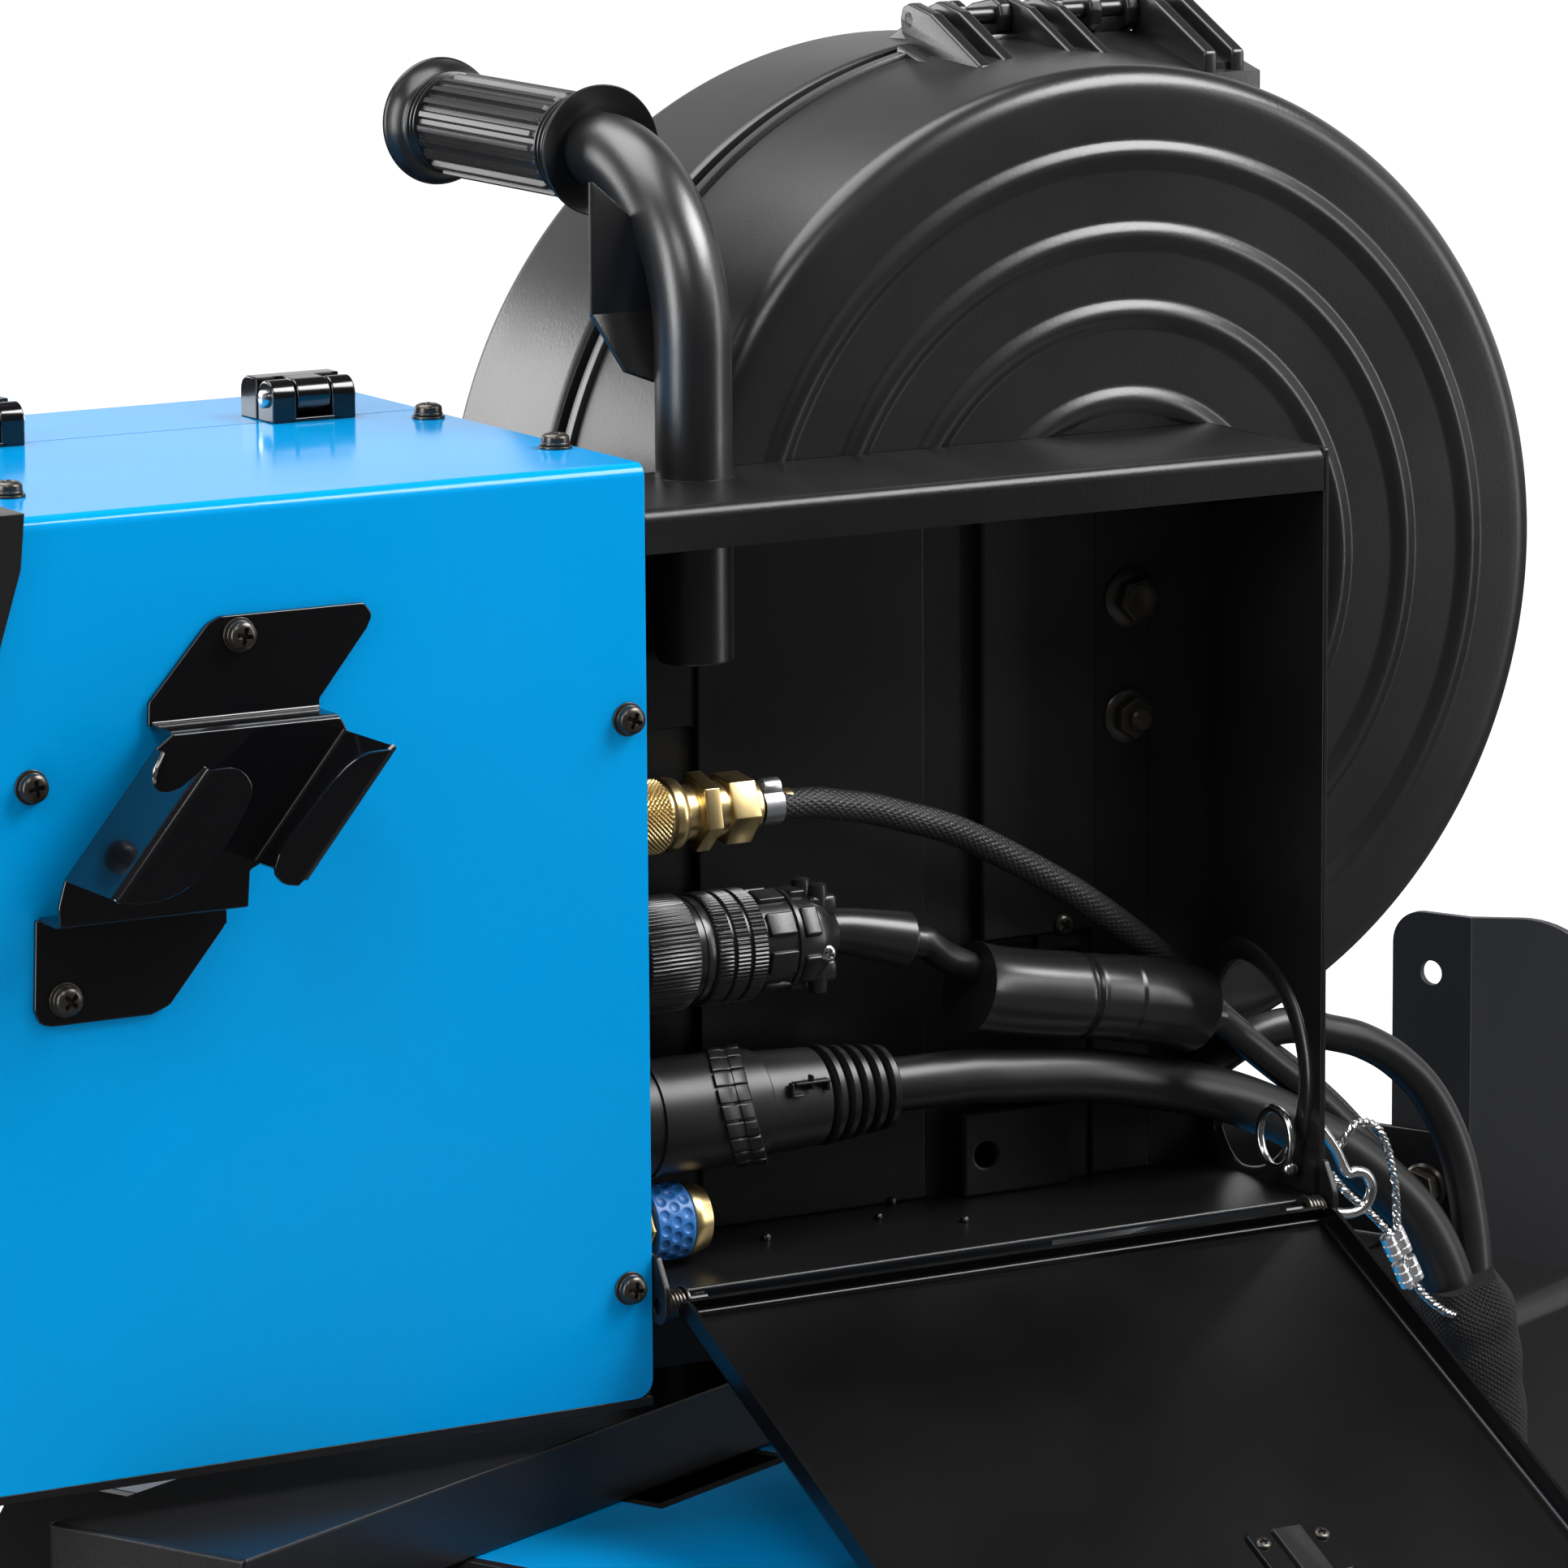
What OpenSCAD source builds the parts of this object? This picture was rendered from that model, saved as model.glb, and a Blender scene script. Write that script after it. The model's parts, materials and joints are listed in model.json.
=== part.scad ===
// Cart-mounted MIG welder: power source on a water cooler and bottle cart,
// with a wire feeder that swivels on top of it.
// Frame: +Z up, +X to the rear of the cart, origin on the floor under the
// middle of the whole machine. Lengths in millimetres.

/* [Cart] */
// Diameter of the two rear wheels
rear_wheel_d = 250; // [200:5:270]
// Width of a rear wheel
rear_wheel_w = 50; // [36:1:60]
// Distance from the middle plane to a rear wheel's outer face
wheel_out = 275; // [260:1:300]
// Diameter of the front caster wheels
caster_wheel_d = 125; // [100:5:130]
// Width of a caster wheel
caster_wheel_w = 34; // [24:1:40]
// Horizontal offset between a caster's kingpin and its wheel axle
caster_trail = 35; // [25:1:40]
// Underside of the deck above the floor
deck_z = 155; // [150:1:170]
// Deck sheet thickness
deck_t = 3; // [2:0.5:4]
// Half the deck's width
deck_half_w = 190; // [175:1:205]
// Front end of the deck, measured from the swivel axis
deck_front = -435; // [-460:1:-430]
// Rear end of the deck, measured from the swivel axis
deck_rear = 655; // [650:1:720]
// Half the distance between the two casters' kingpins
caster_half_track = 135; // [110:1:150]
// Length of the raised platform that the gas bottle stands on
platform_len = 210; // [180:5:230]
// Width of the bottle platform
platform_w = 300; // [220:10:340]
// Height of the push handle's cross bar above the floor
push_bar_z = 730; // [600:10:760]
// Diameter of the push handle tube
push_tube_d = 28; // [22:1:34]

/* [Power source] */
// Height of the cooling unit
cooler_h = 215; // [180:5:240]
// Half the width of cooler and power source
source_half_w = 145; // [130:1:150]
// Height of the power source on top of the cooler
source_h = 457; // [430:1:480]
// Front of the power source, from the swivel axis
source_front_x = -330; // [-350:1:-300]
// Rear of the power source, from the swivel axis
source_rear_x = 340; // [320:1:345]
// Front edge of the blue cover
cover_front_x = -185; // [-200:1:-150]
// Rear edge of the blue cover
cover_rear_x = 215; // [180:1:240]
// Sheet thickness of the covers
cover_t = 2; // [1.5:0.5:3]
// Diameter of the cooling fan
fan_d = 170; // [120:5:190]

/* [Feeder support] */
// Length of the support beam
beam_len = 604; // [520:2:620]
// Width of the support beam
beam_w = 77; // [60:1:90]
// Height of the support beam
beam_h = 27; // [20:1:40]
// Diameter of the swivel pin
swivel_pin_d = 30; // [20:1:36]
// Clear gap between the beam and the feeder's base pan
swivel_gap = 11; // [8:0.5:20]
// Angle that the feeder is turned from the cart's middle line
feeder_turn = 25; // [0:1:45]
// Sheet thickness of the bottle rests
rest_t = 3; // [2:0.5:4]
// Diameter of the chain holes in the bottle rests
chain_hole_d = 9; // [6:0.5:14]

/* [Feeder box] */
// Width of the feeder box
box_w = 210; // [200:1:230]
// Height of the feeder box
box_h = 300; // [295:1:315]
// Width of the fixed part of the top, up to the lid seam
seam_y = 147; // [140:1:150]
// Sheet thickness of the feeder's covers
shell_t = 1.5; // [1:0.5:2]
// Outer bend radius of the covers
bend_r = 4; // [2:0.5:6]
// Distance from the box's rear wall to the swivel axis
pivot_x = 83; // [70:1:100]
// Distance from the box's near side to the swivel axis
pivot_y = 105; // [95:1:115]
// How far the front bezel stands proud of the covers
bezel_lip = 2; // [1:0.5:3]
// Height of the wire line above the feeder's floor
wire_z = 130; // [110:1:150]
// Distance from the near side to the wire line
wire_y = 156; // [152:1:158]

/* [Rear housing] */
// Length of the connector housing behind the box
housing_len = 257; // [245:1:270]
// Underside of the housing
housing_z0 = 31; // [25:1:35]
// Top of the housing
housing_z1 = 285; // [275:1:290]
// Depth of the housing
housing_depth = 71.8; // [70:0.2:74]
// Sheet thickness of the housing
housing_t = 2; // [1.5:0.5:3]
// Radius of the cable opening in the housing's end wall
cable_hole_r = 36.5; // [30:0.5:37]
// Length of the flap door from its hinge line
flap_len = 254; // [240:1:260]
// Angle by which the flap door hangs open
flap_open = 117; // [90:1:125]

/* [Wire drum] */
// Radius of the drum at its seam
drum_r = 175; // [165:1:178]
// Radius of the drum at its two faces
drum_face_r = 170; // [160:1:172]
// Width of the near half of the drum
drum_near_w = 82.7; // [78:0.1:90]
// Width of the far half of the drum
drum_far_w = 83; // [75:1:95]
// Wall thickness of the drum
drum_t = 3; // [2:0.5:4]
// Distance from the box's rear wall to the drum axis
drum_x = 222; // [218:1:228]
// Height of the drum axis above the feeder's floor
drum_z = 235.8; // [230:0.2:245]
// Diameter of the wire spool
spool_d = 300; // [200:5:310]
// Width of the wire spool
spool_w = 103; // [90:1:110]
// Bore of the wire spool
spool_bore = 51; // [50:0.5:54]

/* [Handle] */
// Diameter of the carrying handle's tube
handle_tube_d = 25; // [20:1:26]
// Centre-line radius of the handle's bend
handle_bend_r = 57; // [50:1:60]
// Length of the rubber grip
grip_len = 113; // [95:1:116]
// Diameter of the rubber grip
grip_d = 35; // [30:1:38]
// Diameter of the grip's end flanges
grip_flange_d = 43; // [38:1:46]

/* [Connectors] */
// Height of the gas coupling
gas_z = 180; // [176:1:186]
// Height of the control plug
control_z = 135; // [133:1:137]
// Height of the power plug
power_z = 81.6; // [78:0.2:84]
// Height of the water coupling
water_z = 39.5; // [38:0.5:42]
// Distance from the near side to the row of connectors
connector_y = 36; // [32:1:40]
// Diameter of the welding power cable
power_cable_d = 18; // [14:1:20]
// Diameter of the control cable
control_cable_d = 10; // [8:1:12]
// Diameter of the gas hose
gas_hose_d = 10; // [8:1:12]
// Diameter of the hose that arches out of the cable opening
water_hose_d = 13; // [10:1:14]
// Diameter of the woven sleeve around the cable bundle
bundle_d = 38; // [32:1:44]

/* [Fits] */
// Radial running clearance of shafts and pins
run_fit = 0.05; // [0.02:0.01:0.1]
// Gap left between parts that move past each other
side_gap = 0.3; // [0.3:0.1:0.6]

/* [Hidden] */
$fn = 64;
e = 0.01;

// handle pocket in the power source's top
pocket_x = [-106, -30];
pocket_y = 53;

// heights that stack up from the floor
deck_top = deck_z + deck_t;
cooler_top = deck_top + cooler_h;
source_top = cooler_top + source_h;
beam_top = source_top + beam_h;
pocket_z = source_top - 42;
pan_t = 3;
feeder_z = beam_top + swivel_gap + pan_t;
axle_z = rear_wheel_d / 2;
axle_x = deck_rear - 5 - rear_wheel_d / 2;
axle_r = 10;
wheel_in = wheel_out - rear_wheel_w;
hub_out = wheel_out - 9;
caster_x = deck_front + 65;
kingpin_r = 6;
flange_h = 25;

// flap door: the corner that reaches furthest to the near side
flap_x0 = 5;
flap_x1 = housing_len - 5;
flap_y = -2;
flap_z = housing_z0 - 1;
flap_t = 1.5;
flap_drop = flap_open - 90;
flap_tip_y = flap_y - flap_len * cos(flap_drop) - flap_t / 2 * sin(flap_drop);
near_reach = (flap_x1 - pivot_x) * sin(feeder_turn) - (flap_tip_y - pivot_y) * cos(feeder_turn);

// middle of the machine, seen from the swivel axis
mid_x = (deck_front + deck_rear) / 2;
mid_y = (wheel_out - near_reach) / 2;

// drum
drum_y0 = housing_depth + side_gap;
drum_seam = drum_y0 + drum_near_w;
drum_y1 = drum_seam + drum_far_w;
spool_y0 = drum_y0 + (drum_near_w + drum_far_w - spool_w) / 2;
spindle_r = spool_bore / 2 - run_fit * 2;
lid_hinge_y = drum_seam;
lid_lug_r = 5.7;
lid_hinge_z = drum_z + drum_r + lid_lug_r + side_gap;
lid_x0 = drum_x - 32;
lid_x1 = drum_x + 73;

// handle
handle_x = 50;
handle_y = 57;
handle_low = 225;
handle_straight = 327.5;
stay_y = handle_y + handle_tube_d / 2 + 4.3;

// box front outline, side view: rear edge of the bezel
edge_top = -213;
edge_mid = [-221.6, box_h - 37];
edge_low = -305;
face_top = -252;
face_low = -335;
face_tilt = atan2(face_top - face_low, box_h + 11);

// door hinge
door_hinge_z = box_h + 7.3;
hinge_block_x = [-58, -176];
hinge_block_len = 30;

// drive unit
roll_r = 15;
feed_x = -120;
arm_pivot = [feed_x + 40, wire_z + 28];

// cable routes, feeder coordinates
power_route = [[115, 36, 81.6], [126, 36, 81.5], [140, 36.5, 81], [153, 37, 79.5], [172, 38.5, 77.5],
    [191, 40, 74.5], [211, 42, 70], [231, 44, 65], [250, 46, 59], [268, 47, 51], [284, 47, 42],
    [297, 46, 34], [310, 44, 23], [321, 41, 11], [328, 38, -2], [333, 36, -16]];
control_route = [[121.3, 36, 128.2], [123.4, 36, 127.9], [126.5, 36.4, 125.6], [130.5, 37.2, 122.6], [136, 38, 119.8],
    [144, 38.8, 116], [152, 39.3, 111.5], [161, 39.6, 107.5], [175, 40, 103.8], [190, 41, 101.5],
    [206, 42, 98.8], [222, 43, 95.2], [241, 46, 88.5],
    [254, 50, 80], [268, 51, 69], [283, 51, 57], [299, 50, 42], [315, 47, 24], [328, 44, 4],
    [336, 40, -16]];
gas_route = [[72, 36, 179], [82, 36, 178.5], [92, 37, 176.5], [104, 38, 174], [117, 39, 170],
    [131, 40, 165.5], [144, 42, 160], [164, 44, 149.5], [184, 46, 138], [198, 48, 129],
    [212, 50, 119], [224, 52, 110], [240, 55, 96.5], [252, 58, 85], [266, 60, 74],
    [281, 60, 63], [300, 58, 46], [318, 54, 24], [331, 49, 2], [338, 44, -17]];
arch_route = [[240, 60, 58], [248, 60, 66], [258, 60, 72], [270, 60, 76.5], [284, 60, 77.5],
    [298, 60, 73.5], [312, 60, 69], [326, 59, 60.5], [338, 56, 47], [345, 50, 27], [346, 43, 4],
    [345, 38, -16]];
rubber_route = [[142, 38.6, 110.5], [150, 38.8, 108.6], [160, 39.2, 106.6], [175, 39.8, 104],
    [190, 40.5, 101.7], [205, 41.5, 99], [222, 43, 95.2], [244, 46.3, 87.6]];

// cable bundle, seen from the swivel axis, heights above the floor
bundle_route = [[199, -170, 858], [203, -172, 838], [205, -173, 810], [205, -174, 770],
    [205, -175, 720], [205, -175, 660], [206, -175, 600], [208, -175, 545], [214, -175, 500],
    [227, -175, 462], [248, -174, 433], [277, -172, 414], [312, -170, 405], [347, -168, 404],
    [380, -157, 411], [407, -142, 427], [424, -127, 450], [430, -118, 478], [424, -112, 507],
    [407, -108, 530], [384, -106, 544], [364, -105, 549], [346, -105, 550]];

tether_route = [[276, 20, 44], [283, 20, 51], [291, 20, 49], [296, 20, 40], [299, 20, 27],
    [300, 20, 14], [302, 20, 2], [309, 21, -9], [319, 22, -18], [331, 24, -24]];

module slab(x, y, z) {
    translate([x[0], y[0], z[0]]) cube([x[1] - x[0], y[1] - y[0], z[1] - z[0]]);
}

module x_rod(x, r, y = 0, z = 0) {
    translate([x[0], y, z]) rotate([0, 90, 0]) cylinder(h = x[1] - x[0], r = r);
}

module y_rod(y, r, x = 0, z = 0) {
    translate([x, y[0], z]) rotate([-90, 0, 0]) cylinder(h = y[1] - y[0], r = r);
}

module z_rod(z, r, x = 0, y = 0) {
    translate([x, y, z[0]]) cylinder(h = z[1] - z[0], r = r);
}

// a turned piece: profile of [distance along X, radius], from its first to its last point
module turned_x(profile, y, z, sides = 64) {
    translate([0, y, z]) rotate([90, 0, 90]) rotate_extrude($fn = sides)
        polygon(concat([[0, profile[0][0]]], [for (p = profile) [p[1], p[0]]],
            [[0, profile[len(profile) - 1][0]]]));
}

// side outline (X, Z) extruded along Y
module side_plate(y, outline) {
    translate([0, y[1], 0]) rotate([90, 0, 0]) linear_extrude(y[1] - y[0]) polygon(outline);
}

// end outline (Y, Z) extruded along X
module end_plate(x) {
    translate([x[0], 0, 0]) rotate([90, 0, 90]) linear_extrude(x[1] - x[0]) children();
}

function unit(v) = v / norm(v);

function route_dir(p, i) = unit(p[min(i + 1, len(p) - 1)] - p[max(i - 1, 0)]);

// round tube along a route: one closed skin of rings and two end caps
module route_tube(p, d, sides = 8) {
    n = len(p);
    rings = [for (i = [0:n - 1]) let (t = route_dir(p, i), side = unit(cross(t, [0.13, 0.98, 0.11])),
        up = cross(side, t)) for (k = [0:sides - 1]) let (a = 360 * k / sides)
        p[i] + d / 2 * (side * cos(a) + up * sin(a))];
    walls = [for (i = [0:n - 2]) for (k = [0:sides - 1]) let (m = (k + 1) % sides)
        for (f = [[i * sides + k, i * sides + m, (i + 1) * sides + m],
            [i * sides + k, (i + 1) * sides + m, (i + 1) * sides + k]]) f];
    caps = [[for (k = [sides - 1:-1:0]) k], [for (k = [0:sides - 1]) (n - 1) * sides + k]];
    polyhedron(points = rings, faces = concat(walls, caps), convexity = 4);
}

// cart coordinates: X from the swivel axis, Y from the cart's middle plane, Z from the floor
module on_cart() {
    translate([-mid_x, -mid_y, 0]) children();
}

// feeder coordinates: origin at the blue box's near rear bottom corner
module on_feeder() {
    on_cart() translate([0, 0, feeder_z]) rotate([0, 0, -feeder_turn])
        translate([-pivot_x, -pivot_y, 0]) children();
}

module both_sides() {
    children();
    mirror([0, 1, 0]) children();
}

// ---------- cart ----------

module chassis() {
    bracket_w = 60;
    bracket_t = 6;
    color("#1c1d1f") on_cart() {
        difference() {
            union() {
                slab([deck_front, deck_rear], [-deck_half_w, deck_half_w], [deck_z, deck_top]);
                both_sides() {
                    slab([deck_front, deck_rear], [deck_half_w - deck_t, deck_half_w],
                        [deck_z - flange_h, deck_z]);
                    slab([axle_x - bracket_w / 2, axle_x + bracket_w / 2],
                        [deck_half_w - bracket_t, deck_half_w], [axle_z - 22, deck_z]);
                }
                for (x = [deck_front, deck_rear - deck_t])
                    slab([x, x + deck_t], [-deck_half_w, deck_half_w], [deck_z - flange_h, deck_z]);
                slab([deck_rear - deck_t, deck_rear], [-deck_half_w, deck_half_w], [deck_top, deck_top + 35]);
                slab([deck_rear - 20 - platform_len, deck_rear - 20], [-platform_w / 2, platform_w / 2],
                    [deck_top - e, deck_top + 4]);
            }
            both_sides() y_rod([deck_half_w - bracket_t - 1, deck_half_w + 1], axle_r + run_fit,
                axle_x, axle_z);
        }
        both_sides() translate([caster_x, caster_half_track, 0]) {
            z_rod([deck_z - 8, deck_z], 38);
            z_rod([deck_z - 24, deck_z - 8], kingpin_r);
            z_rod([deck_z - 28, deck_z - 24], kingpin_r + 4);
        }
    }
}

module rear_axle() {
    color("silver") on_cart() {
        y_rod([-hub_out - 4, hub_out + 4], axle_r, axle_x, axle_z);
        both_sides() {
            difference() {
                y_rod([hub_out + side_gap, hub_out + 5], axle_r + 6, axle_x, axle_z);
                y_rod([hub_out, hub_out + 4], axle_r - e, axle_x, axle_z);
            }
            difference() {
                y_rod([wheel_in - 8, wheel_in - side_gap], axle_r + 6, axle_x, axle_z);
                y_rod([wheel_in - 9, wheel_in + 1], axle_r - e, axle_x, axle_z);
            }
        }
    }
}

module rear_rim() {
    rim_r = rear_wheel_d / 2 - 28;
    mid = (wheel_in + wheel_out) / 2;
    translate([axle_x, 0, axle_z]) difference() {
        union() {
            y_rod([wheel_in, hub_out], axle_r + 12);
            difference() {
                y_rod([wheel_in + 3, wheel_out - 3], rim_r);
                y_rod([wheel_in, wheel_out], rim_r - 6);
            }
            y_rod([mid - 3, mid + 3], rim_r - 5);
        }
        y_rod([wheel_in - 1, wheel_out + 1], axle_r + run_fit);
        for (a = [0:72:359])
            rotate([0, a, 0]) y_rod([mid - 5, mid + 5], 15, (axle_r + rim_r) / 2 + 3);
    }
}

module rear_tyre() {
    rim_r = rear_wheel_d / 2 - 28;
    shoulder = 9;
    translate([axle_x, (wheel_in + wheel_out) / 2, axle_z]) rotate([90, 0, 0]) rotate_extrude($fn = 96)
        polygon([[rim_r, -rear_wheel_w / 2 + 3], [rim_r + 6, -rear_wheel_w / 2],
            [rear_wheel_d / 2 - shoulder, -rear_wheel_w / 2], [rear_wheel_d / 2 - 2, -rear_wheel_w / 2 + shoulder],
            [rear_wheel_d / 2, -6], [rear_wheel_d / 2, 6],
            [rear_wheel_d / 2 - 2, rear_wheel_w / 2 - shoulder], [rear_wheel_d / 2 - shoulder, rear_wheel_w / 2],
            [rim_r + 6, rear_wheel_w / 2], [rim_r, rear_wheel_w / 2 - 3]]);
}

module rear_rim_near() {
    color("#3a3c40") on_cart() mirror([0, 1, 0]) rear_rim();
}

module rear_rim_far() {
    color("#3a3c40") on_cart() rear_rim();
}

module rear_tyre_near() {
    color("#151515") on_cart() mirror([0, 1, 0]) rear_tyre();
}

module rear_tyre_far() {
    color("#151515") on_cart() rear_tyre();
}

module caster_fork(side) {
    crown_top = deck_z - 8 - side_gap;
    crown_low = crown_top - 12;
    arm_t = 4;
    arm_in = caster_wheel_w / 2 + 3;
    bolt_r = 5;
    translate([caster_x, side * caster_half_track, 0]) {
        difference() {
            union() {
                z_rod([crown_low, crown_top], arm_in + arm_t);
                for (s = [-1, 1])
                    hull() {
                        translate([0, s * (arm_in + arm_t / 2), crown_top - 4])
                            cube([34, arm_t, 8], center = true);
                        translate([caster_trail, s * (arm_in + arm_t / 2), caster_wheel_d / 2])
                            rotate([90, 0, 0]) cylinder(h = arm_t, r = 12, center = true, $fn = 32);
                    }
            }
            z_rod([crown_low - 1, crown_top + 1], kingpin_r + run_fit);
            z_rod([deck_z - 29, deck_z - 24 + side_gap], kingpin_r + 5);
        }
        y_rod([-arm_in - arm_t - 5, arm_in + arm_t + 5], bolt_r, caster_trail, caster_wheel_d / 2);
        for (s = [-1, 1])
            y_rod(s > 0 ? [arm_in + arm_t, arm_in + arm_t + 5] : [-arm_in - arm_t - 5, -arm_in - arm_t],
                9, caster_trail, caster_wheel_d / 2, $fn = 6);
    }
}

module caster_wheel(side) {
    r = caster_wheel_d / 2;
    w = caster_wheel_w / 2;
    translate([caster_x + caster_trail, side * caster_half_track, r]) rotate([90, 0, 0])
        rotate_extrude($fn = 72)
            polygon([[5 + run_fit, -w - 2.5], [13, -w - 2.5], [13, -w + 6], [r - 20, -w + 6],
                [r - 18, -w], [r - 6, -w], [r, -w + 7], [r, w - 7], [r - 6, w], [r - 18, w],
                [r - 20, w - 6], [13, w - 6], [13, w + 2.5], [5 + run_fit, w + 2.5]]);
}

module caster_fork_near() {
    color("silver") on_cart() caster_fork(-1);
}

module caster_fork_far() {
    color("silver") on_cart() caster_fork(1);
}

module caster_wheel_near() {
    color("#242424") on_cart() caster_wheel(-1);
}

module caster_wheel_far() {
    color("#242424") on_cart() caster_wheel(1);
}

module push_handle() {
    r = push_tube_d / 2;
    leg_x = source_front_x - 45;
    leg_y = 150;
    corner = 70;
    color("#1c1d1f") on_cart() {
        both_sides() {
            z_rod([deck_top, push_bar_z - corner], r, leg_x, leg_y);
            translate([leg_x, leg_y - corner, push_bar_z - corner]) rotate([90, 0, 90])
                rotate_extrude(angle = 90) translate([corner, 0]) circle(r);
            z_rod([deck_top, deck_top + 6], r + 10, leg_x, leg_y);
        }
        y_rod([corner - leg_y, leg_y - corner], r, leg_x, push_bar_z);
    }
}

module cooler_case() {
    t = cover_t;
    w = source_half_w - 5;
    x0 = source_front_x + 30;
    x1 = source_rear_x - 10;
    z1 = cooler_top;
    color("#1c1d1f") on_cart() difference() {
        slab([x0, x1], [-w, w], [deck_top, z1]);
        slab([x0 - 1, x1 - t], [-w + t, w - t], [deck_top + t, z1 - t]);
        for (i = [0:8])
            slab([x0 + 90 + i * 24, x0 + 100 + i * 24], [-w - 1, w + 1], [deck_top + 50, z1 - 60]);
    }
}

module cooler_front() {
    t = 3;
    w = source_half_w - 5;
    x0 = source_front_x;
    x1 = source_front_x + 30;
    color("#26282b") on_cart() difference() {
        slab([x0, x1], [-w, w], [deck_top, cooler_top]);
        slab([x0 + t, x1 + 1], [-w + t, w - t], [deck_top + t, cooler_top - t]);
        for (i = [0:7])
            slab([x0 - 1, x0 + t + 1], [-w + 15, 25], [deck_top + 30 + i * 20, deck_top + 38 + i * 20]);
        x_rod([x0 - 1, x0 + t + 1], 31, 80, cooler_top - 55);
    }
}

module coolant_tank() {
    x0 = source_front_x + 32;
    z1 = cooler_top - 12;
    color("#d8dcda") on_cart() {
        difference() {
            union() {
                slab([x0, x0 + 190], [25, source_half_w - 12], [deck_top + cover_t, z1]);
                x_rod([source_front_x - 6, x0 + 1], 26, 80, cooler_top - 55);
            }
            slab([x0 + 3, x0 + 187], [28, source_half_w - 15], [deck_top + cover_t + 3, z1 - 3]);
            x_rod([source_front_x - 7, x0 + 4], 22, 80, cooler_top - 55);
        }
    }
}

module filler_cap() {
    x1 = source_front_x - 6 - side_gap;
    color("#1565a8") on_cart() difference() {
        union() {
            x_rod([x1 - 10, x1], 32, 80, cooler_top - 55);
            x_rod([x1 - 22, x1 - 10], 24, 80, cooler_top - 55);
            x_rod([x1, x1 + 16], 22 - run_fit, 80, cooler_top - 55);
        }
        x_rod([x1 - 1, x1 + 17], 18, 80, cooler_top - 55);
        for (a = [0:30:359])
            translate([0, 80, cooler_top - 55]) rotate([a, 0, 0]) x_rod([x1 - 23, x1 - 10], 2.5, 25);
    }
}

module source_base() {
    color("#1c1d1f") on_cart() {
        slab([source_front_x + 3, source_rear_x - 3], [-source_half_w + 3, source_half_w - 3],
            [cooler_top, cooler_top + 3]);
        slab([pocket_x[0] + 30, pocket_x[0] + 32], [-source_half_w + 8, source_half_w - 8],
            [cooler_top + 3, pocket_z]);
        both_sides() slab([cover_front_x + 10, cover_rear_x - 10],
            [source_half_w - cover_t - 3, source_half_w - cover_t], [cooler_top, cooler_top + 45]);
        difference() {
            slab(pocket_x, [-pocket_y, pocket_y], [pocket_z, source_top]);
            slab([pocket_x[0] + 4, pocket_x[1] - 4], [-pocket_y + 4, pocket_y - 4],
                [pocket_z + 3, source_top + 1]);
        }
        for (x = [pocket_x[0] + 12:12:pocket_x[1] - 10])
            slab([x, x + 3], [-pocket_y + 4, pocket_y - 4], [pocket_z + 3, pocket_z + 16]);
    }
}

module source_cover() {
    w = source_half_w;
    t = cover_t;
    r = 10;
    color("#0a8fdc") on_cart() difference() {
        end_plate([cover_front_x, cover_rear_x]) difference() {
            rounded_top(w, cooler_top + 3, source_top, r);
            rounded_top(w - t, cooler_top + 2, source_top - t, r - t);
        }
        slab(pocket_x, [-pocket_y, pocket_y], [source_top - 10, source_top + 1]);
    }
}

// outline (Y, Z) with two round top corners
module rounded_top(w, z0, z1, r) {
    translate([-w, z0]) square([2 * w, z1 - z0 - r]);
    translate([-w + r, z1 - r - e]) square([2 * (w - r), r + e]);
    for (s = [-1, 1])
        translate([s * (w - r), z1 - r]) circle(r);
}

module source_front() {
    w = source_half_w;
    t = 3;
    slope = 140;
    x0 = source_front_x;
    x1 = cover_front_x;
    outline = [[x1, cooler_top], [x1, source_top], [x0 + slope, source_top],
        [x0, source_top - slope], [x0, cooler_top]];
    inner = [[x1 + 1, cooler_top - 1], [x1 + 1, source_top - t], [x0 + slope + 1, source_top - t],
        [x0 + t, source_top - slope - 1], [x0 + t, cooler_top - 1]];
    color("#202124") on_cart() difference() {
        side_plate([-w, w], outline);
        side_plate([-w + t, w - t], inner);
        for (y = dinse_y)
            x_rod([x0 - 1, x0 + t + 1], 16, y, dinse_z);
        x_rod([x0 - 1, x0 + t + 1], 13, switch_y, dinse_z);
    }
}

dinse_y = [-95, -40];
switch_y = 60;
dinse_z = cooler_top + 70;
fan_y = 20;
fan_z = cooler_top + 270;
fan_slot_h = 70;
core_x = [30, 150];
core_half_w = 90;
core_h = 120;
coil_pitch = 60;
coil_over = 10;

module source_rear() {
    w = source_half_w;
    t = 3;
    x0 = cover_rear_x;
    x1 = source_rear_x;
    top = source_top - 2;
    color("#202124") on_cart() {
        difference() {
            end_plate([x0, x1]) rounded_top(w, cooler_top + 3, top, 10);
            end_plate([x0 - 1, x1 - t]) rounded_top(w - t, cooler_top + 2, top - t, 8);
            for (i = [-4:4])
                slab([x1 - t - 1, x1 + 1], [i * 18 - 4 + fan_y, i * 18 + 4 + fan_y],
                    [fan_z - fan_slot_h, fan_z + fan_slot_h]);
        }
        slab([x1 - t - 30, x1 - t], [fan_y - 3, fan_y + 3],
            [fan_z - fan_slot_h - 20, fan_z + fan_slot_h + 20]);
        x_rod([x1 - t - 34, x1 - t - 12], 30, fan_y, fan_z);
        x_rod([x1 - t - 60, x1 - t - 34], 6, fan_y, fan_z);
        gland(x1, 24, -105, 550);
        gland(x1, 14, 95, cooler_top + 60);
    }
}

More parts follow.
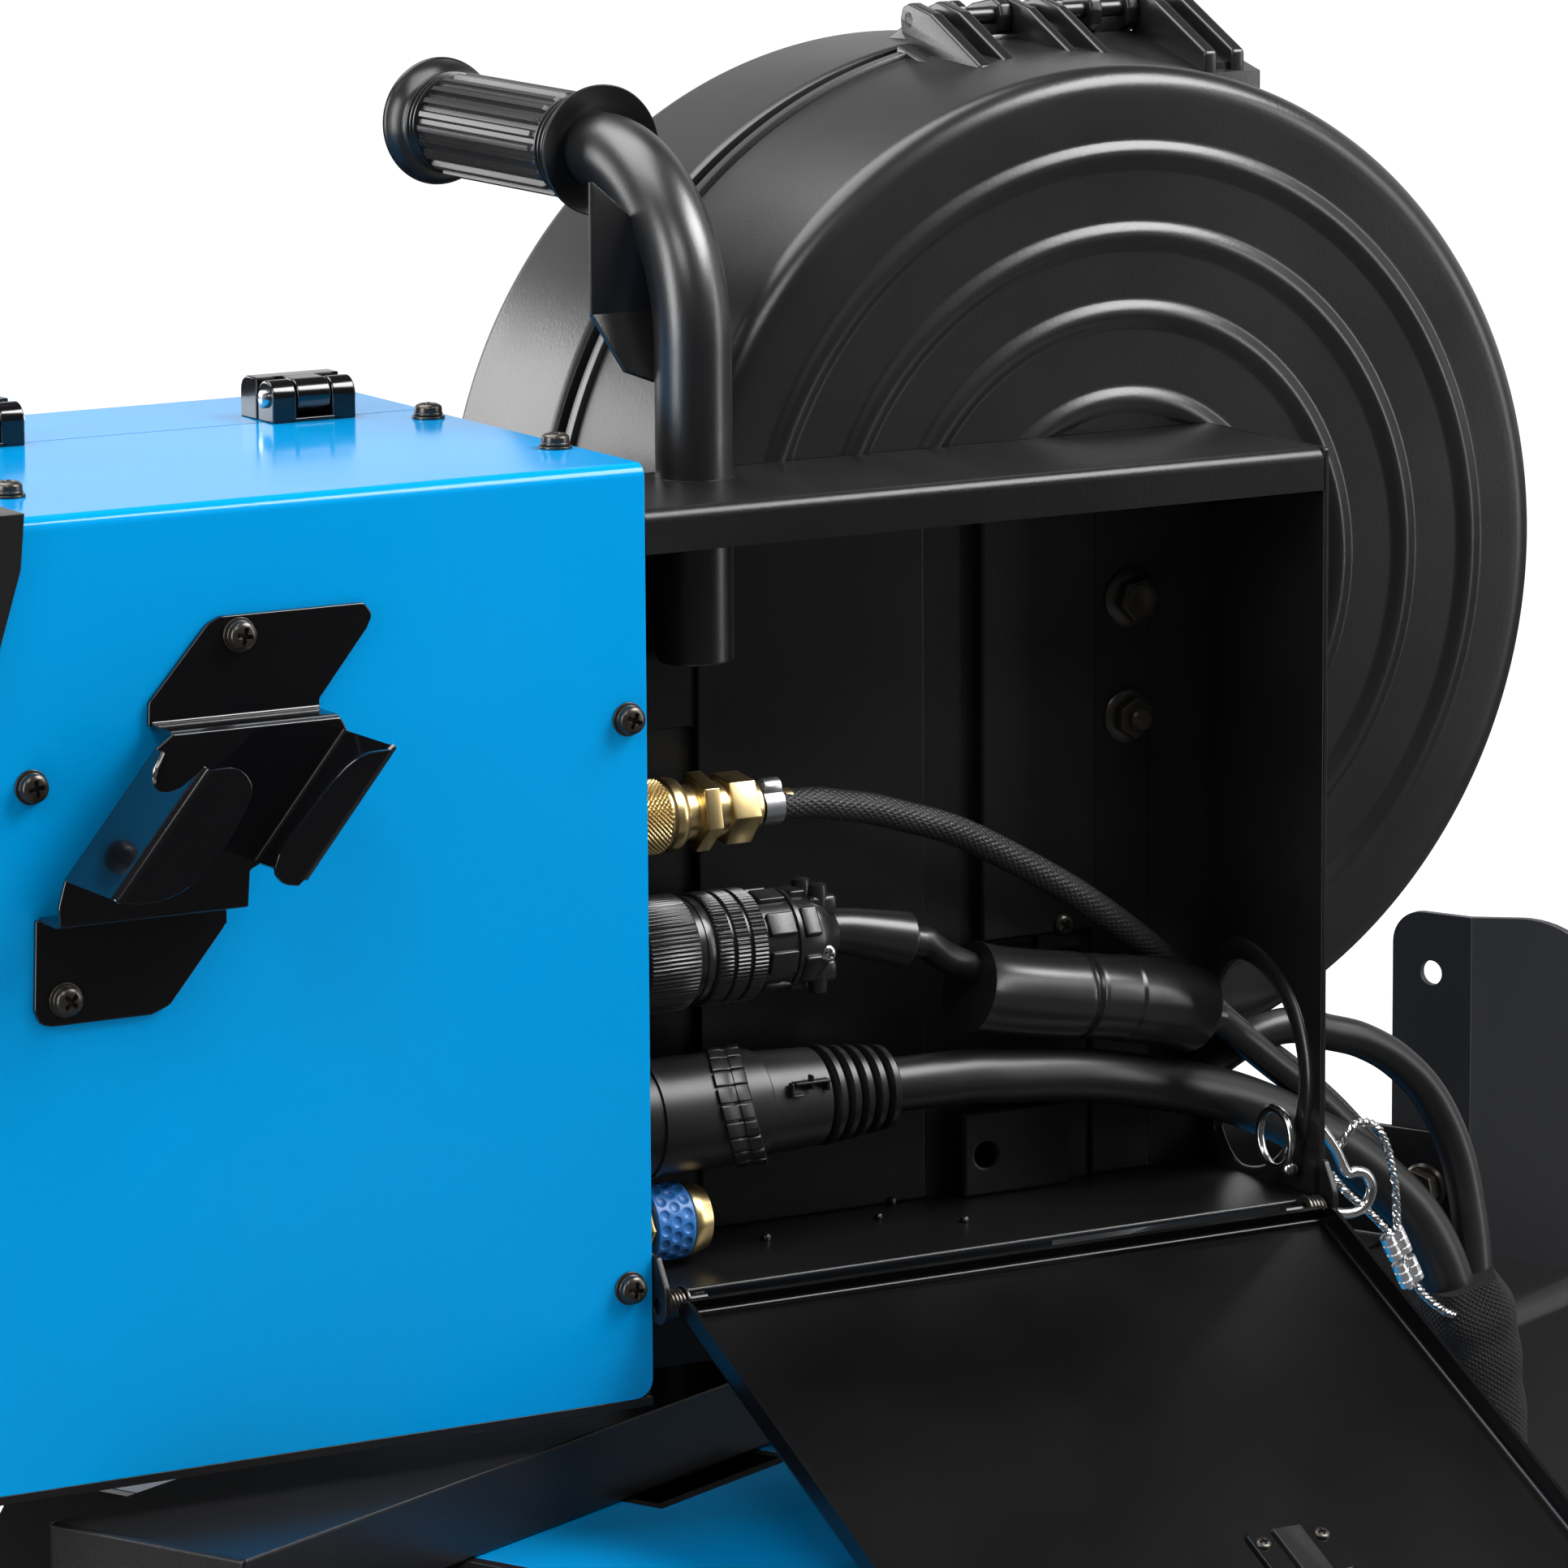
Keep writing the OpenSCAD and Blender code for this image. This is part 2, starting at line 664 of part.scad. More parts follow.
// cable gland: hex base and a round nut
module gland(x, r, y, z) {
    difference() {
        union() {
            x_rod([x, x + 4], r + 5, y, z, $fn = 6);
            x_rod([x + 4, x + 14], r, y, z);
        }
        x_rod([x + 4, x + 15], r - 4, y, z);
    }
}

module source_fan() {
    x1 = source_rear_x - 3 - 36;
    color("#2a2a2a") on_cart() translate([0, fan_y, fan_z]) difference() {
        union() {
            x_rod([x1 - 22, x1], 22);
            for (a = [0:360 / 7:359])
                rotate([a, 0, 0]) translate([x1 - 11, 0, 20]) rotate([0, 0, 35])
                    translate([-1.5, -14, 0]) cube([3, 28, fan_d / 2 - 20]);
        }
        x_rod([x1 - 24, x1 + 1], 6 + run_fit);
    }
}

module transformer() {
    color("#7a4a22") on_cart() {
        slab(core_x, [-core_half_w, core_half_w], [cooler_top + 3, cooler_top + core_h]);
        for (y = [-coil_pitch, 0, coil_pitch])
            slab([core_x[0] - coil_over, core_x[1] + coil_over],
                [y - coil_pitch * 0.4, y + coil_pitch * 0.4],
                [cooler_top + 12, cooler_top + core_h - 12]);
    }
}

module source_sockets() {
    x0 = source_front_x;
    color("#303236") on_cart() for (y = dinse_y)
        difference() {
            union() {
                x_rod([x0 - 8, x0], 22, y, dinse_z);
                x_rod([x0, x0 + 30], 15.7, y, dinse_z);
            }
            x_rod([x0 - 9, x0 + 25], 6.75, y, dinse_z);
        }
}

module main_switch() {
    x0 = source_front_x;
    color("#b01818") on_cart() {
        x_rod([x0 - 4, x0 - side_gap], 24, switch_y, dinse_z);
        x_rod([x0 - 12, x0 - 4], 18, switch_y, dinse_z);
        slab([x0 - 24, x0 - 12], [switch_y - 5, switch_y + 5], [dinse_z - 18, dinse_z + 18]);
        x_rod([x0 - side_gap, x0 + 26], 12.7, switch_y, dinse_z);
    }
}

// ---------- feeder support ----------

module support_beam() {
    t = 3;
    x = beam_len / 2;
    y = beam_w / 2;
    pad_top = beam_top + swivel_gap - side_gap;
    color("#26272a") on_cart() {
        difference() {
            slab([-x, x], [-y, y], [source_top, beam_top]);
            slab([-x + t, x - t], [-y + t, y - t], [source_top - 1, beam_top - t]);
        }
        z_rod([beam_top, pad_top], swivel_pin_d / 2 + 18);
        z_rod([pad_top, beam_top + swivel_gap + 24], swivel_pin_d / 2);
    }
}

bracket_half = 90;
web_top = feeder_z;
rest_top = feeder_z + 80;
bolt_z = feeder_z - 21;
rest_hole_y = 74;

module cradle_bracket() {
    x1 = source_rear_x + 4;
    foot_z = source_top - 2;
    color("#26272a") on_cart() {
        difference() {
            end_plate([source_rear_x + 1, x1]) {
                translate([-bracket_half, foot_z]) square([2 * bracket_half, web_top - foot_z - 10]);
                translate([-bracket_half + 10, foot_z]) square([2 * bracket_half - 20, web_top - foot_z]);
                for (s = [-1, 1])
                    translate([s * (bracket_half - 10), web_top - 10]) circle(10);
            }
            both_sides() x_rod([source_rear_x, x1 + 1], 4.2, rest_hole_y, bolt_z);
        }
        slab([cover_rear_x + 15, source_rear_x + 1 + e], [-60, 60], [foot_z, source_top]);
    }
}

module bottle_rests() {
    x0 = source_rear_x + 4;
    bend_y = bracket_half;
    wing = 48;
    turn = 27;
    low = feeder_z - 165;
    tip = [x0 + wing * sin(turn), bend_y + wing * cos(turn)];
    back = [rest_t * cos(turn), -rest_t * sin(turn)];
    color("#26272a") on_cart() both_sides() difference() {
        union() {
            slab([x0, x0 + rest_t], [58, bend_y + 0.7], [source_top - 2, rest_top]);
            translate([0, 0, low]) linear_extrude(rest_top - low) polygon([[x0, bend_y], tip,
                tip + back, [x0 + rest_t, bend_y - 0.7]]);
        }
        x_rod([x0 - 1, x0 + rest_t + 1], chain_hole_d / 2, rest_hole_y, feeder_z + 58);
        x_rod([x0 - 1, x0 + rest_t + 1], 4.2, rest_hole_y, bolt_z);
        round_cut(x0, bend_y + wing * cos(turn) + 0.5, rest_top, 28);
        translate([0, 116, 0]) mirror([0, 1, 0]) round_cut(x0, 58, rest_top, 12);
    }
}

// takes a square top corner (at y, z) off a plate and leaves a round one
module round_cut(x, y, z, r) {
    translate([x - 1, y - r, z - r]) difference() {
        cube([60, r + 2, r + 1]);
        x_rod([-1, 62], r);
    }
}

module cradle_bolts() {
    x0 = source_rear_x + 1;
    x1 = x0 + 3 + rest_t;
    color("#1a1a1a") on_cart() both_sides() {
        x_rod([x0 - 12, x1 + 9], 4, rest_hole_y, bolt_z);
        x_rod([x0 - 1.6, x0], 9, rest_hole_y, bolt_z);
        x_rod([x0 - 8, x0 - 1.6], 7.5, rest_hole_y, bolt_z, $fn = 6);
        x_rod([x1, x1 + 5.5], 7.5, rest_hole_y, bolt_z, $fn = 6);
    }
}

// ---------- feeder box ----------

// side outline of the blue covers (X, Z)
cover_outline = [[0, 0], [0, box_h], [edge_top, box_h], [edge_top - 1.6, box_h - 15],
    edge_mid, [edge_low, 0]];

module feeder_base() {
    hub_r = swivel_pin_d / 2 + 10;
    divider_y = wire_y - 46;
    color("#222326") on_feeder() {
        difference() {
            union() {
                slab([edge_low, 0], [0, box_w], [-pan_t, 0]);
                slab([-e, pivot_x + 92], [pivot_y - 65, pivot_y + 70], [-pan_t, 0]);
                for (y = [pivot_y - 65, pivot_y + 67])
                    slab([0, pivot_x + 92], [y, y + 3], [-e, 25]);
                z_rod([-e, 25], hub_r, pivot_x, pivot_y);
                slab([-2, 0], [shell_t, box_w - shell_t], [-e, box_h - bend_r]);
                slab([edge_mid[0], -2 + e], [divider_y, divider_y + 2], [-e, box_h - 30]);
            }
            z_rod([-pan_t - 1, 26], swivel_pin_d / 2 + run_fit, pivot_x, pivot_y);
            x_rod([-3, 1], 9, wire_y, wire_z);
        }
    }
}

// covers of the box: an L-shaped section cut to the side outline
module cover_section(y0, y1, lip) {
    intersection() {
        end_plate([edge_low, 0]) difference() {
            union() {
                translate([y0, 0]) square([y1 - y0, box_h - bend_r]);
                translate([y0 + bend_r, 0]) square([y1 - y0 - bend_r, box_h]);
                translate([y0 + bend_r, box_h - bend_r]) circle(bend_r);
            }
            translate([y0 + shell_t, -1]) square([y1 - y0, box_h - bend_r + 1]);
            translate([y0 + bend_r, -1]) square([y1 - y0, box_h - shell_t + 1]);
            translate([y0 + bend_r, box_h - bend_r]) circle(bend_r - shell_t);
        }
        side_plate([y0 - 1, y1 + 1], lip);
    }
}

module feeder_shell() {
    corner = 4;
    lip = concat([[-corner, 0], [-corner * 0.3, corner * 0.3], [0, corner]],
        [for (i = [1:5]) cover_outline[i]]);
    color("#0a8fdc") on_feeder() cover_section(0, seam_y, lip);
}

module feeder_door() {
    color("#0a8fdc") on_feeder() {
        translate([0, box_w, 0]) mirror([0, 1, 0]) cover_section(0, box_w - seam_y - 0.8, cover_outline);
        slab([-150, -90], [box_w, box_w + 9], [30, 34]);
        for (x = [-150, -94])
            slab([x, x + 4], [box_w - e, box_w + 9], [30, 50]);
    }
}

module front_bezel() {
    y0 = -bezel_lip;
    y1 = box_w + bezel_lip;
    top = box_h + bezel_lip;
    t = 3;
    gap = 0.3;
    outer = [[edge_top - gap, top], [edge_top - 1.6 - gap, box_h - 15], [edge_mid[0] - gap, edge_mid[1]],
        [edge_low - gap - pan_t * (edge_mid[0] - edge_low) / edge_mid[1], -pan_t],
        [face_low + 8, -pan_t - 2], [face_low, 8], [face_top, top]];
    inner = [[edge_top + 1, top - t], [edge_low + 30, 0], [face_low + 12, 0],
        [face_low + t + 1, 9], [face_top + t, top - t]];
    color("#1b1c1e") on_feeder() difference() {
        side_plate([y0, y1], outer);
        side_plate([y0 + t, y1 - t], inner);
        for (p = knob_places)
            face_place(p) translate([0, 0, -6]) cylinder(h = 12, r = 4);
        x_rod([face_low - 5, face_low + 60], 24, wire_y, wire_z);
        face_place([70, 45]) translate([-16, -30, -1]) cube([32, 60, 5]);
    }
}

// places on the sloping face: [distance down the slope, Y]
knob_places = [[120, 45], [185, 45]];

module face_place(p) {
    s = p[0] / norm([face_top - face_low, box_h + 2 - 8]);
    translate([face_top + (face_low - face_top) * s, p[1], box_h + 2 + (8 - box_h - 2) * s])
        rotate([0, -90 + face_tilt, 0]) children();
}

module control_knob(p) {
    color("#26282b") on_feeder() face_place(p) {
        difference() {
            translate([0, 0, side_gap]) cylinder(h = 18, r1 = 19, r2 = 16);
            for (a = [0:30:359])
                rotate([0, 0, a]) translate([19.5, 0, -1]) cylinder(h = 22, r = 2);
        }
        translate([0, 0, -8]) cylinder(h = 9, r = 4 - run_fit);
    }
}

module knob_upper() {
    control_knob(knob_places[0]);
}

module knob_lower() {
    control_knob(knob_places[1]);
}

module torch_socket() {
    x0 = face_low - 8;
    color("#b98a2e") on_feeder() difference() {
        union() {
            x_rod([x0, x0 + 60], 23.5, wire_y, wire_z);
            x_rod([x0 + 60, feed_x - roll_r - 4], 9, wire_y, wire_z);
        }
        x_rod([x0 - 1, x0 + 45], 10, wire_y, wire_z);
        x_rod([x0 + 44, feed_x], 1.6, wire_y, wire_z);
        for (p = [[15, 0], [0, 15], [0, -15]])
            x_rod([x0 - 1, x0 + 14], 2.6, wire_y + p[0], wire_z + p[1]);
    }
}

module hinge_blocks() {
    y = seam_y;
    r = 6.6;
    color("#17181a") on_feeder() for (x0 = hinge_block_x) {
        x1 = x0 + hinge_block_len;
        for (x = [[x0, x0 + 7], [x1 - 7, x1]]) {
            x_rod(x, r, y, door_hinge_z);
            slab(x, [y - 14, y], [box_h, door_hinge_z + r]);
        }
        slab([x0, x1], [y - 17, y - 8], [box_h, box_h + 15]);
        x_rod([x0 - 0.8, x1 + 0.8], 2.5, y, door_hinge_z);
    }
}

module hinge_leaves() {
    y = seam_y;
    r = 6.6;
    color("#17181a") on_feeder() for (x0 = hinge_block_x) {
        x = [x0 + 7 + side_gap, x0 + hinge_block_len - 7 - side_gap];
        difference() {
            union() {
                x_rod(x, r, y, door_hinge_z);
                slab(x, [y, y + 8], [box_h, door_hinge_z + r]);
                slab([x0, x0 + hinge_block_len], [y + 7, y + 14], [box_h, box_h + 15]);
            }
            x_rod([x0, x0 + hinge_block_len], 2.5 + run_fit, y, door_hinge_z);
        }
    }
}

// ---------- rear housing ----------

trim_lap = 3.5;
hole_y = 48.3;
hole_z = 70;

module rear_housing() {
    t = housing_t;
    l = housing_len;
    d = housing_depth;
    color("#232427") on_feeder() {
        difference() {
            union() {
                slab([0, l], [d - t, d], [housing_z0, housing_z1]);
                slab([0, l], [0, d - t + e], [housing_z1 - t, housing_z1]);
                slab([0, l], [0, t], [housing_z1 - 14, housing_z1 - t + e]);
                slab([0, l], [2, d - t + e], [housing_z0, housing_z0 + t]);
                slab([l - t, l], [0, d - t + e], [housing_z0, housing_z1]);
                x_rod([l - t, l], 6, flap_y, flap_z);
                slab([l - t, l], [flap_y, 4], [flap_z, flap_z + 12]);
                x_rod([side_gap, side_gap + t], 6, flap_y, flap_z);
                slab([side_gap, side_gap + t], [flap_y, 4], [flap_z, flap_z + 6]);
                slab([57, 143], [d - t - 1.5, d - t + e], [housing_z0 + t, housing_z1 - t]);
                slab([163, 208], [d - t - 5, d - t + e], [118, housing_z1 - t]);
                slab([186, 203], [d - t - 2.5, d - t + e], [112, 118 + e]);
                slab([208, 231], [d - t - 1.5, d - t + e], [housing_z0 + t, housing_z1 - t]);
                slab([153, 195], [d - t - 9, d - t + e], [housing_z0 + t, 62]);
                z_rod([housing_z1 - e, housing_z1 + 1.2], handle_tube_d / 2 + 2.4, handle_x, handle_y);
            }
            slab([4, 57], [d - t - 1, d + 1], [housing_z0 + 9, 201]);
            intersection() {
                union() {
                    x_rod([l - t - 1, l + 1], cable_hole_r, hole_y, hole_z);
                    x_rod([l - t - 3, l - t], cable_hole_r + trim_lap + side_gap, hole_y, hole_z);
                }
                slab([l - t - 4, l + 2], [0, d - t - 0.8], [0, housing_z1]);
            }
            for (x = [[-1, t + 2], [l - t - 1, l + 1]])
                x_rod(x, 2.5 + run_fit, flap_y, flap_z);
            y_rod([d - 12, d - t - 3], 4, 162, 47);
            y_rod([d - t - 2, d + 1], 2.5, 208, 206);
            z_rod([housing_z1 - t - 1, housing_z1 + 2], handle_tube_d / 2 + run_fit, handle_x, handle_y);
        }
        y_rod([d - t - 10, d - t - 1.5], 6.5, 223, 229, $fn = 6);
        y_rod([d - t - 3, d - t - 1.5], 10, 223, 229);
        y_rod([d - t - 9, d - t - 1.5], 6, 222, 189, $fn = 6);
        y_rod([d - t - 3, d - t - 1.5], 9, 222, 189);
        y_rod([d - t - 5, d - t - 2.5], 4, 194, 121);
        slab([0, 58], [d - e, d + 1.3], [58, 203]);
    }
}

module hole_trim() {
    groove = housing_t + 2 * side_gap;
    x0 = housing_len - housing_t - side_gap - 1.4;
    color("#121212") on_feeder() intersection() {
        translate([x0, hole_y, hole_z]) rotate([90, 0, 90]) rotate_extrude($fn = 72)
            polygon([[cable_hole_r - 2, 0], [cable_hole_r + trim_lap, 0], [cable_hole_r + trim_lap, 1.4],
                [cable_hole_r - 0.2, 1.4], [cable_hole_r - 0.2, 1.4 + groove],
                [cable_hole_r + trim_lap, 1.4 + groove], [cable_hole_r + trim_lap, 2.8 + groove],
                [cable_hole_r - 2, 2.8 + groove]]);
        slab([x0 - 1, housing_len + 3], [-20, housing_depth - housing_t - 1.1], [0, housing_z1]);
    }
}

// pieces on the flap, drawn closed: distance from the hinge runs upwards
module on_flap() {
    on_feeder() translate([0, flap_y, flap_z]) rotate([flap_open, 0, 0]) children();
}

latch_x = [138, 167];
latch_l = [146, 166];
latch_travel = 6;

module flap_door() {
    t = flap_t;
    lip = 8;
    color("#1d1e20") on_flap() {
        difference() {
            union() {
                slab([flap_x0, flap_x1], [-t / 2, t / 2], [5, flap_len]);
                slab([flap_x0, flap_x1], [-t / 2, 4], [5, 5 + t]);
                for (x = [flap_x0, flap_x1 - t])
                    slab([x, x + t], [-t / 2, lip], [14, flap_len - 20]);
                for (x = [flap_x0, flap_x1 - 14])
                    x_rod([x, x + 14], 3.6);
                for (x = [flap_x0, flap_x1 - 14])
                    slab([x, x + 14], [-t / 2, t / 2], [3, 6]);
            }
            slab([latch_x[0] + 9, latch_x[1] - 9], [-t, t], latch_l);
        }
        x_rod([flap_x0 - 4, flap_x0 + e], 2.5);
        x_rod([flap_x1 - e, flap_x1 + 4], 2.5);
        for (x = [latch_x[0] + 3.5, latch_x[1] - 3.5])
            y_rod([t / 2, t / 2 + 1.5], 2.6, x, latch_l[0] + 5);
    }
}

module flap_latch() {
    t = flap_t;
    x = [latch_x[0] + 9 + side_gap, latch_x[1] - 9 - side_gap];
    stub = [latch_l[0] + side_gap, latch_l[1] - side_gap - latch_travel];
    flange_l = housing_z1 - 14 - flap_z;
    behind = housing_t - flap_y + side_gap;
    color("#26272a") on_flap() {
        slab(x, [-t / 2 - 3, t / 2 + 3], stub);
        slab([x[0] - 3, x[1] + 3], [-t / 2 - 3, -t / 2 - side_gap], [stub[0] - 2, stub[1]]);
        slab(x, [t / 2 + side_gap, t / 2 + 3], [stub[0], flange_l - 1]);
        slab(x, [t / 2 + 1, behind + 2.5], [flange_l - 16, flange_l - 9]);
        slab(x, [behind, behind + 2.5], [flange_l - 16, flange_l - 1]);
    }
}

// ---------- handle and torch holder ----------

module handle_path(r) {
    z_rod([handle_low, handle_straight], r, handle_x, handle_y);
    translate([handle_x, handle_y + handle_bend_r, handle_straight]) rotate([90, 0, 90])
        rotate([0, 0, 90]) rotate_extrude(angle = 90) translate([handle_bend_r, 0]) circle(r);
}

module past_bend() {
    translate([handle_x, handle_y + handle_bend_r, handle_straight + handle_bend_r]) children();
}

module handle_tube() {
    color("#1a1b1d") on_feeder() {
        handle_path(handle_tube_d / 2);
        past_bend() y_rod([0, grip_len - 1], handle_tube_d / 2);
        translate([handle_x, 0, handle_straight])
            side_plate([stay_y, stay_y + 2], [[-27.3, 52], [-27.5, 8.5], [-19.4, -8.5],
                [-9, -12.5], [4, -9.5], [8, 8.5], [6, 44.5], [0, 52]]);
    }
}

module handle_grip() {
    r = grip_d / 2;
    rib_n = 22;
    color("#1e1f21") on_feeder() past_bend() translate([0, 2, 0]) difference() {
        union() {
            y_rod([0, grip_len], r - 1.2);
            for (y = [0, grip_len - 5])
                y_rod([y, y + 5], grip_flange_d / 2);
            for (y = [7, 10, grip_len - 11, grip_len - 8])
                y_rod([y, y + 1.4], r);
            for (i = [0:rib_n - 1])
                rotate([0, i * 360 / rib_n, 0]) slab([-1.3, 1.3], [15, grip_len - 15], [r - 3, r]);
        }
        y_rod([-1, grip_len - 2], handle_tube_d / 2 + run_fit);
    }
}

module torch_holder() {
    t = 2;
    foot_y = -t;
    main_y = -15;
    lip_y = main_y - 36;
    left = [[-209.7, 191.9], [-178.6, 229.3]];
    right = [[-144.7, 190.3], [-113.5, 228.2]];
    color("#141416") on_feeder() {
        difference() {
            side_plate([foot_y, 0], [[-173.8, 234], [-173.5, 240.7], [-153.5, 263], [-149.2, 265],
                [-99.8, 265], [-97, 261.3], [-98.9, 257.2], [-115.7, 236.7], [-115.7, 232]]);
            y_rod([-5, 1], 2.6, -143, 259);
        }
        difference() {
            side_plate([foot_y, 0], [[-212.7, 179], [-213.8, 149.4], [-212, 145.4], [-207.9, 144.4],
                [-174.8, 144.4], [-168.5, 146.7], [-149.2, 169.5], [-148.7, 179]]);
            y_rod([-5, 1], 2.6, -203.8, 152.4);
        }
        slab([-172.9, -116], [main_y - t, -0.5], [232, 234]);
        slab([-211.5, -148.7], [main_y - t, -0.5], [177, 179]);
        side_plate([main_y - t, main_y], [left[1], [-172.9, 234], [-116, 234], right[1],
            right[0], [-147.8, 189], [-148.7, 177], [-211.5, 177], [-212, 184.1], left[0]]);
        // left wall, with a round notch in its upper end
        difference() {
            wall_sheet(left[0], left[1], [lip_y + 1, main_y - 1], [-t, 0]);
            translate([left[1][0], main_y - 16, left[1][1]]) rotate([0, -50.3, 0])
                translate([0, 0, -5]) cylinder(h = 8, r = 12.5);
        }
        wall_sheet(right[0], right[1], [lip_y + 1, main_y - 1], [0, t]);
        side_plate([lip_y, lip_y + t], [left[0], [-201.7, 189.9], [-189.4, 191.2], [-181.2, 196],
            [-171.7, 206.2], [-166.4, 214.1], [-163.4, 220.4], [-165.2, 225.2], [-170.2, 228.1], left[1]]);
        side_plate([lip_y, lip_y + t], [right[0], [-150.4, 190.2], [-154.5, 191.7], [-156.7, 196.2],
            [-155.9, 199.4], [-147, 207.4], [-138.5, 218.8], [-133.2, 224], [-123.7, 228.2], right[1]]);
        y_rod([-5.5, foot_y], 4.6, -143, 259);
        y_rod([-5.5, foot_y], 4.6, -203.8, 152.4);
    }
}

// an upright sheet from a to b (X, Z), y wide; z is its two faces, from the line a-b
module wall_sheet(a, b, y, z) {
    d = unit(b - a);
    translate([a[0], y[0], a[1]]) rotate([0, -atan2(d[1], d[0]), 0])
        slab([0, norm(b - a)], [0, y[1] - y[0]], z);
}

// ---------- drum and spool ----------

rings = [141, 114, 88, 59];

// one dished half: wall, face and rim, open towards +Z; w is its width
module drum_half(w, taper) {
    t = drum_t;
    edge = 8;
    rotate_extrude($fn = 144) difference() {
        polygon([[0, 0], [drum_face_r - edge, 0], [drum_face_r - edge * 0.3, edge * 0.25],
            [drum_face_r, edge], [drum_r - taper, w - 8], [drum_r, w - 8], [drum_r, w], [0, w]]);
        polygon([[0, t], [drum_face_r - edge - 1, t], [drum_face_r - t - 1, edge + 1],
            [drum_r - t - 1, w - 8], [drum_r - t, w + 1], [0, w + 1]]);
    }
}

module drum_rings() {
    for (r = rings)
        rotate_extrude($fn = 120) translate([r, 0.4]) intersection() {
            scale([1, 1]) circle(r = 4.2, $fn = 32);
            translate([-5, -2.3]) square([10, 2.4]);
        }
}

// hole through the rim at the seam, where the wire leaves for the feeder box
module wire_passage(w) {
    translate([-drum_r + 65, drum_z - wire_z, w]) rotate([0, -90, 0]) cylinder(h = 60, r = 8);
}

module drum_near() {
    color("#2b2c2f") on_feeder() {
        translate([drum_x, drum_y0, drum_z]) rotate([-90, 0, 0]) {
            difference() {
                union() {
                    drum_half(drum_near_w - 0.6, 1.2);
                    drum_rings();
                }
                translate([0, 0, -1]) cylinder(h = 6, r = 10 + run_fit);
                wire_passage(drum_near_w);
                translate([-drum_x - 1, drum_z - housing_z1 - side_gap, -5])
                    cube([housing_len + 1 + side_gap, housing_z1 - housing_z0 + 2 * side_gap, 5]);
            }
        }
        lid_lugs(lid_x0, lid_x1, [[0, 16], [38, 54], [89, 105]], -1);
        x_rod([lid_x0, lid_x1], 3, lid_hinge_y, lid_hinge_z);
    }
}

// hinge ears on top of the drum; side -1 reaches to the near half, +1 to the far half
module lid_lugs(x0, x1, spans, side) {
    for (s = spans) {
        x_rod([x0 + s[0], x0 + s[1]], lid_lug_r, lid_hinge_y, lid_hinge_z);
        side_plate_x([x0 + s[0], x0 + s[1]], side);
    }
}

module side_plate_x(x, side) {
    reach = 46;
    sink = 14;
    translate([x[0], lid_hinge_y, lid_hinge_z]) rotate([90, 0, 90]) linear_extrude(x[1] - x[0])
        polygon([for (p = [[0, lid_lug_r], [0, -lid_lug_r], [6, -sink], [reach, -sink - 6], [reach, -10]])
            [side * p[0], p[1]]]);
}

module drum_far() {
    color("#2b2c2f") on_feeder() {
        translate([drum_x, drum_y1, drum_z]) rotate([90, 0, 0]) {
            difference() {
                union() {
                    drum_half(drum_far_w - 0.6, 1.2);
                    drum_rings();
                }
                mirror([0, 1, 0]) wire_passage(drum_far_w);
            }
        }
        difference() {
            lid_lugs(lid_x0, lid_x1, [[16.3, 37.7], [54.3, 88.7]], 1);
            x_rod([lid_x0 - 1, lid_x1 + 1], 3 + run_fit, lid_hinge_y, lid_hinge_z);
        }
    }
}

module spool_hub() {
    color("#8a8f95") on_feeder() {
        y_rod([drum_y0 + drum_t, spool_y0 - side_gap], 34, drum_x, drum_z);
        y_rod([spool_y0 - side_gap, spool_y0 + spool_w + 6], spindle_r, drum_x, drum_z);
        y_rod([housing_depth, drum_y0 + drum_t + e], 10, drum_x, drum_z);
    }
}

module spool() {
    r = spool_d / 2;
    color("#3b3d41") on_feeder() translate([drum_x, spool_y0, drum_z]) difference() {
        union() {
            for (y = [0, spool_w - 4])
                y_rod([y, y + 4], r);
            y_rod([0, spool_w], spool_bore / 2 + 5);
            y_rod([3, spool_w - 3], 92);
        }
        y_rod([-1, spool_w + 1], spool_bore / 2);
        difference() {
            y_rod([-1, spool_w + 1], 86);
            y_rod([-2, spool_w + 2], spool_bore / 2 + 6);
            for (a = [0:60:359])
                rotate([0, a, 0]) slab([0, 90], [0, spool_w], [-2, 2]);
        }
    }
}

module wire_winding() {
    r = spool_d / 2 - 14;
    color("#b87445") on_feeder() translate([drum_x, spool_y0, drum_z]) difference() {
        y_rod([4, spool_w - 4], r);
        y_rod([3, spool_w - 3], 92);
    }
}

// ---------- wire drive ----------

module drive_unit() {
    plate_y = wire_y - 44;
    color("#9a9da1") on_feeder() {
        difference() {
            union() {
                slab([feed_x - 75, feed_x + 75], [plate_y, plate_y + 8], [wire_z - 60, wire_z + 60]);
                slab([feed_x + 24, feed_x + 62], [plate_y + 8 - e, wire_y + 8], [wire_z - 10, wire_z + 10]);
                y_rod([plate_y + 8 - e, wire_y + 16], 5, arm_pivot[0], arm_pivot[1]);
            }
            x_rod([feed_x + 20, feed_x + 70], 1.6, wire_y, wire_z);
        }
        y_rod([plate_y + 8 - e, wire_y + 14], 6, feed_x, wire_z - roll_r);
        y_rod([plate_y - 2 - 66, plate_y - 2 - e], 32, feed_x, wire_z - roll_r);
        y_rod([plate_y - 2 - 100, plate_y - 2 - 66], 26, feed_x, wire_z - roll_r);
    }
}

module feed_roll() {
    color("#c9ccd0") on_feeder() translate([feed_x, wire_y, wire_z - roll_r]) difference() {
        union() {
            y_rod([-6, 6], roll_r - side_gap);
            y_rod([6, 11], 9);
        }
        y_rod([-7, 12], 6 + run_fit);
    }
}

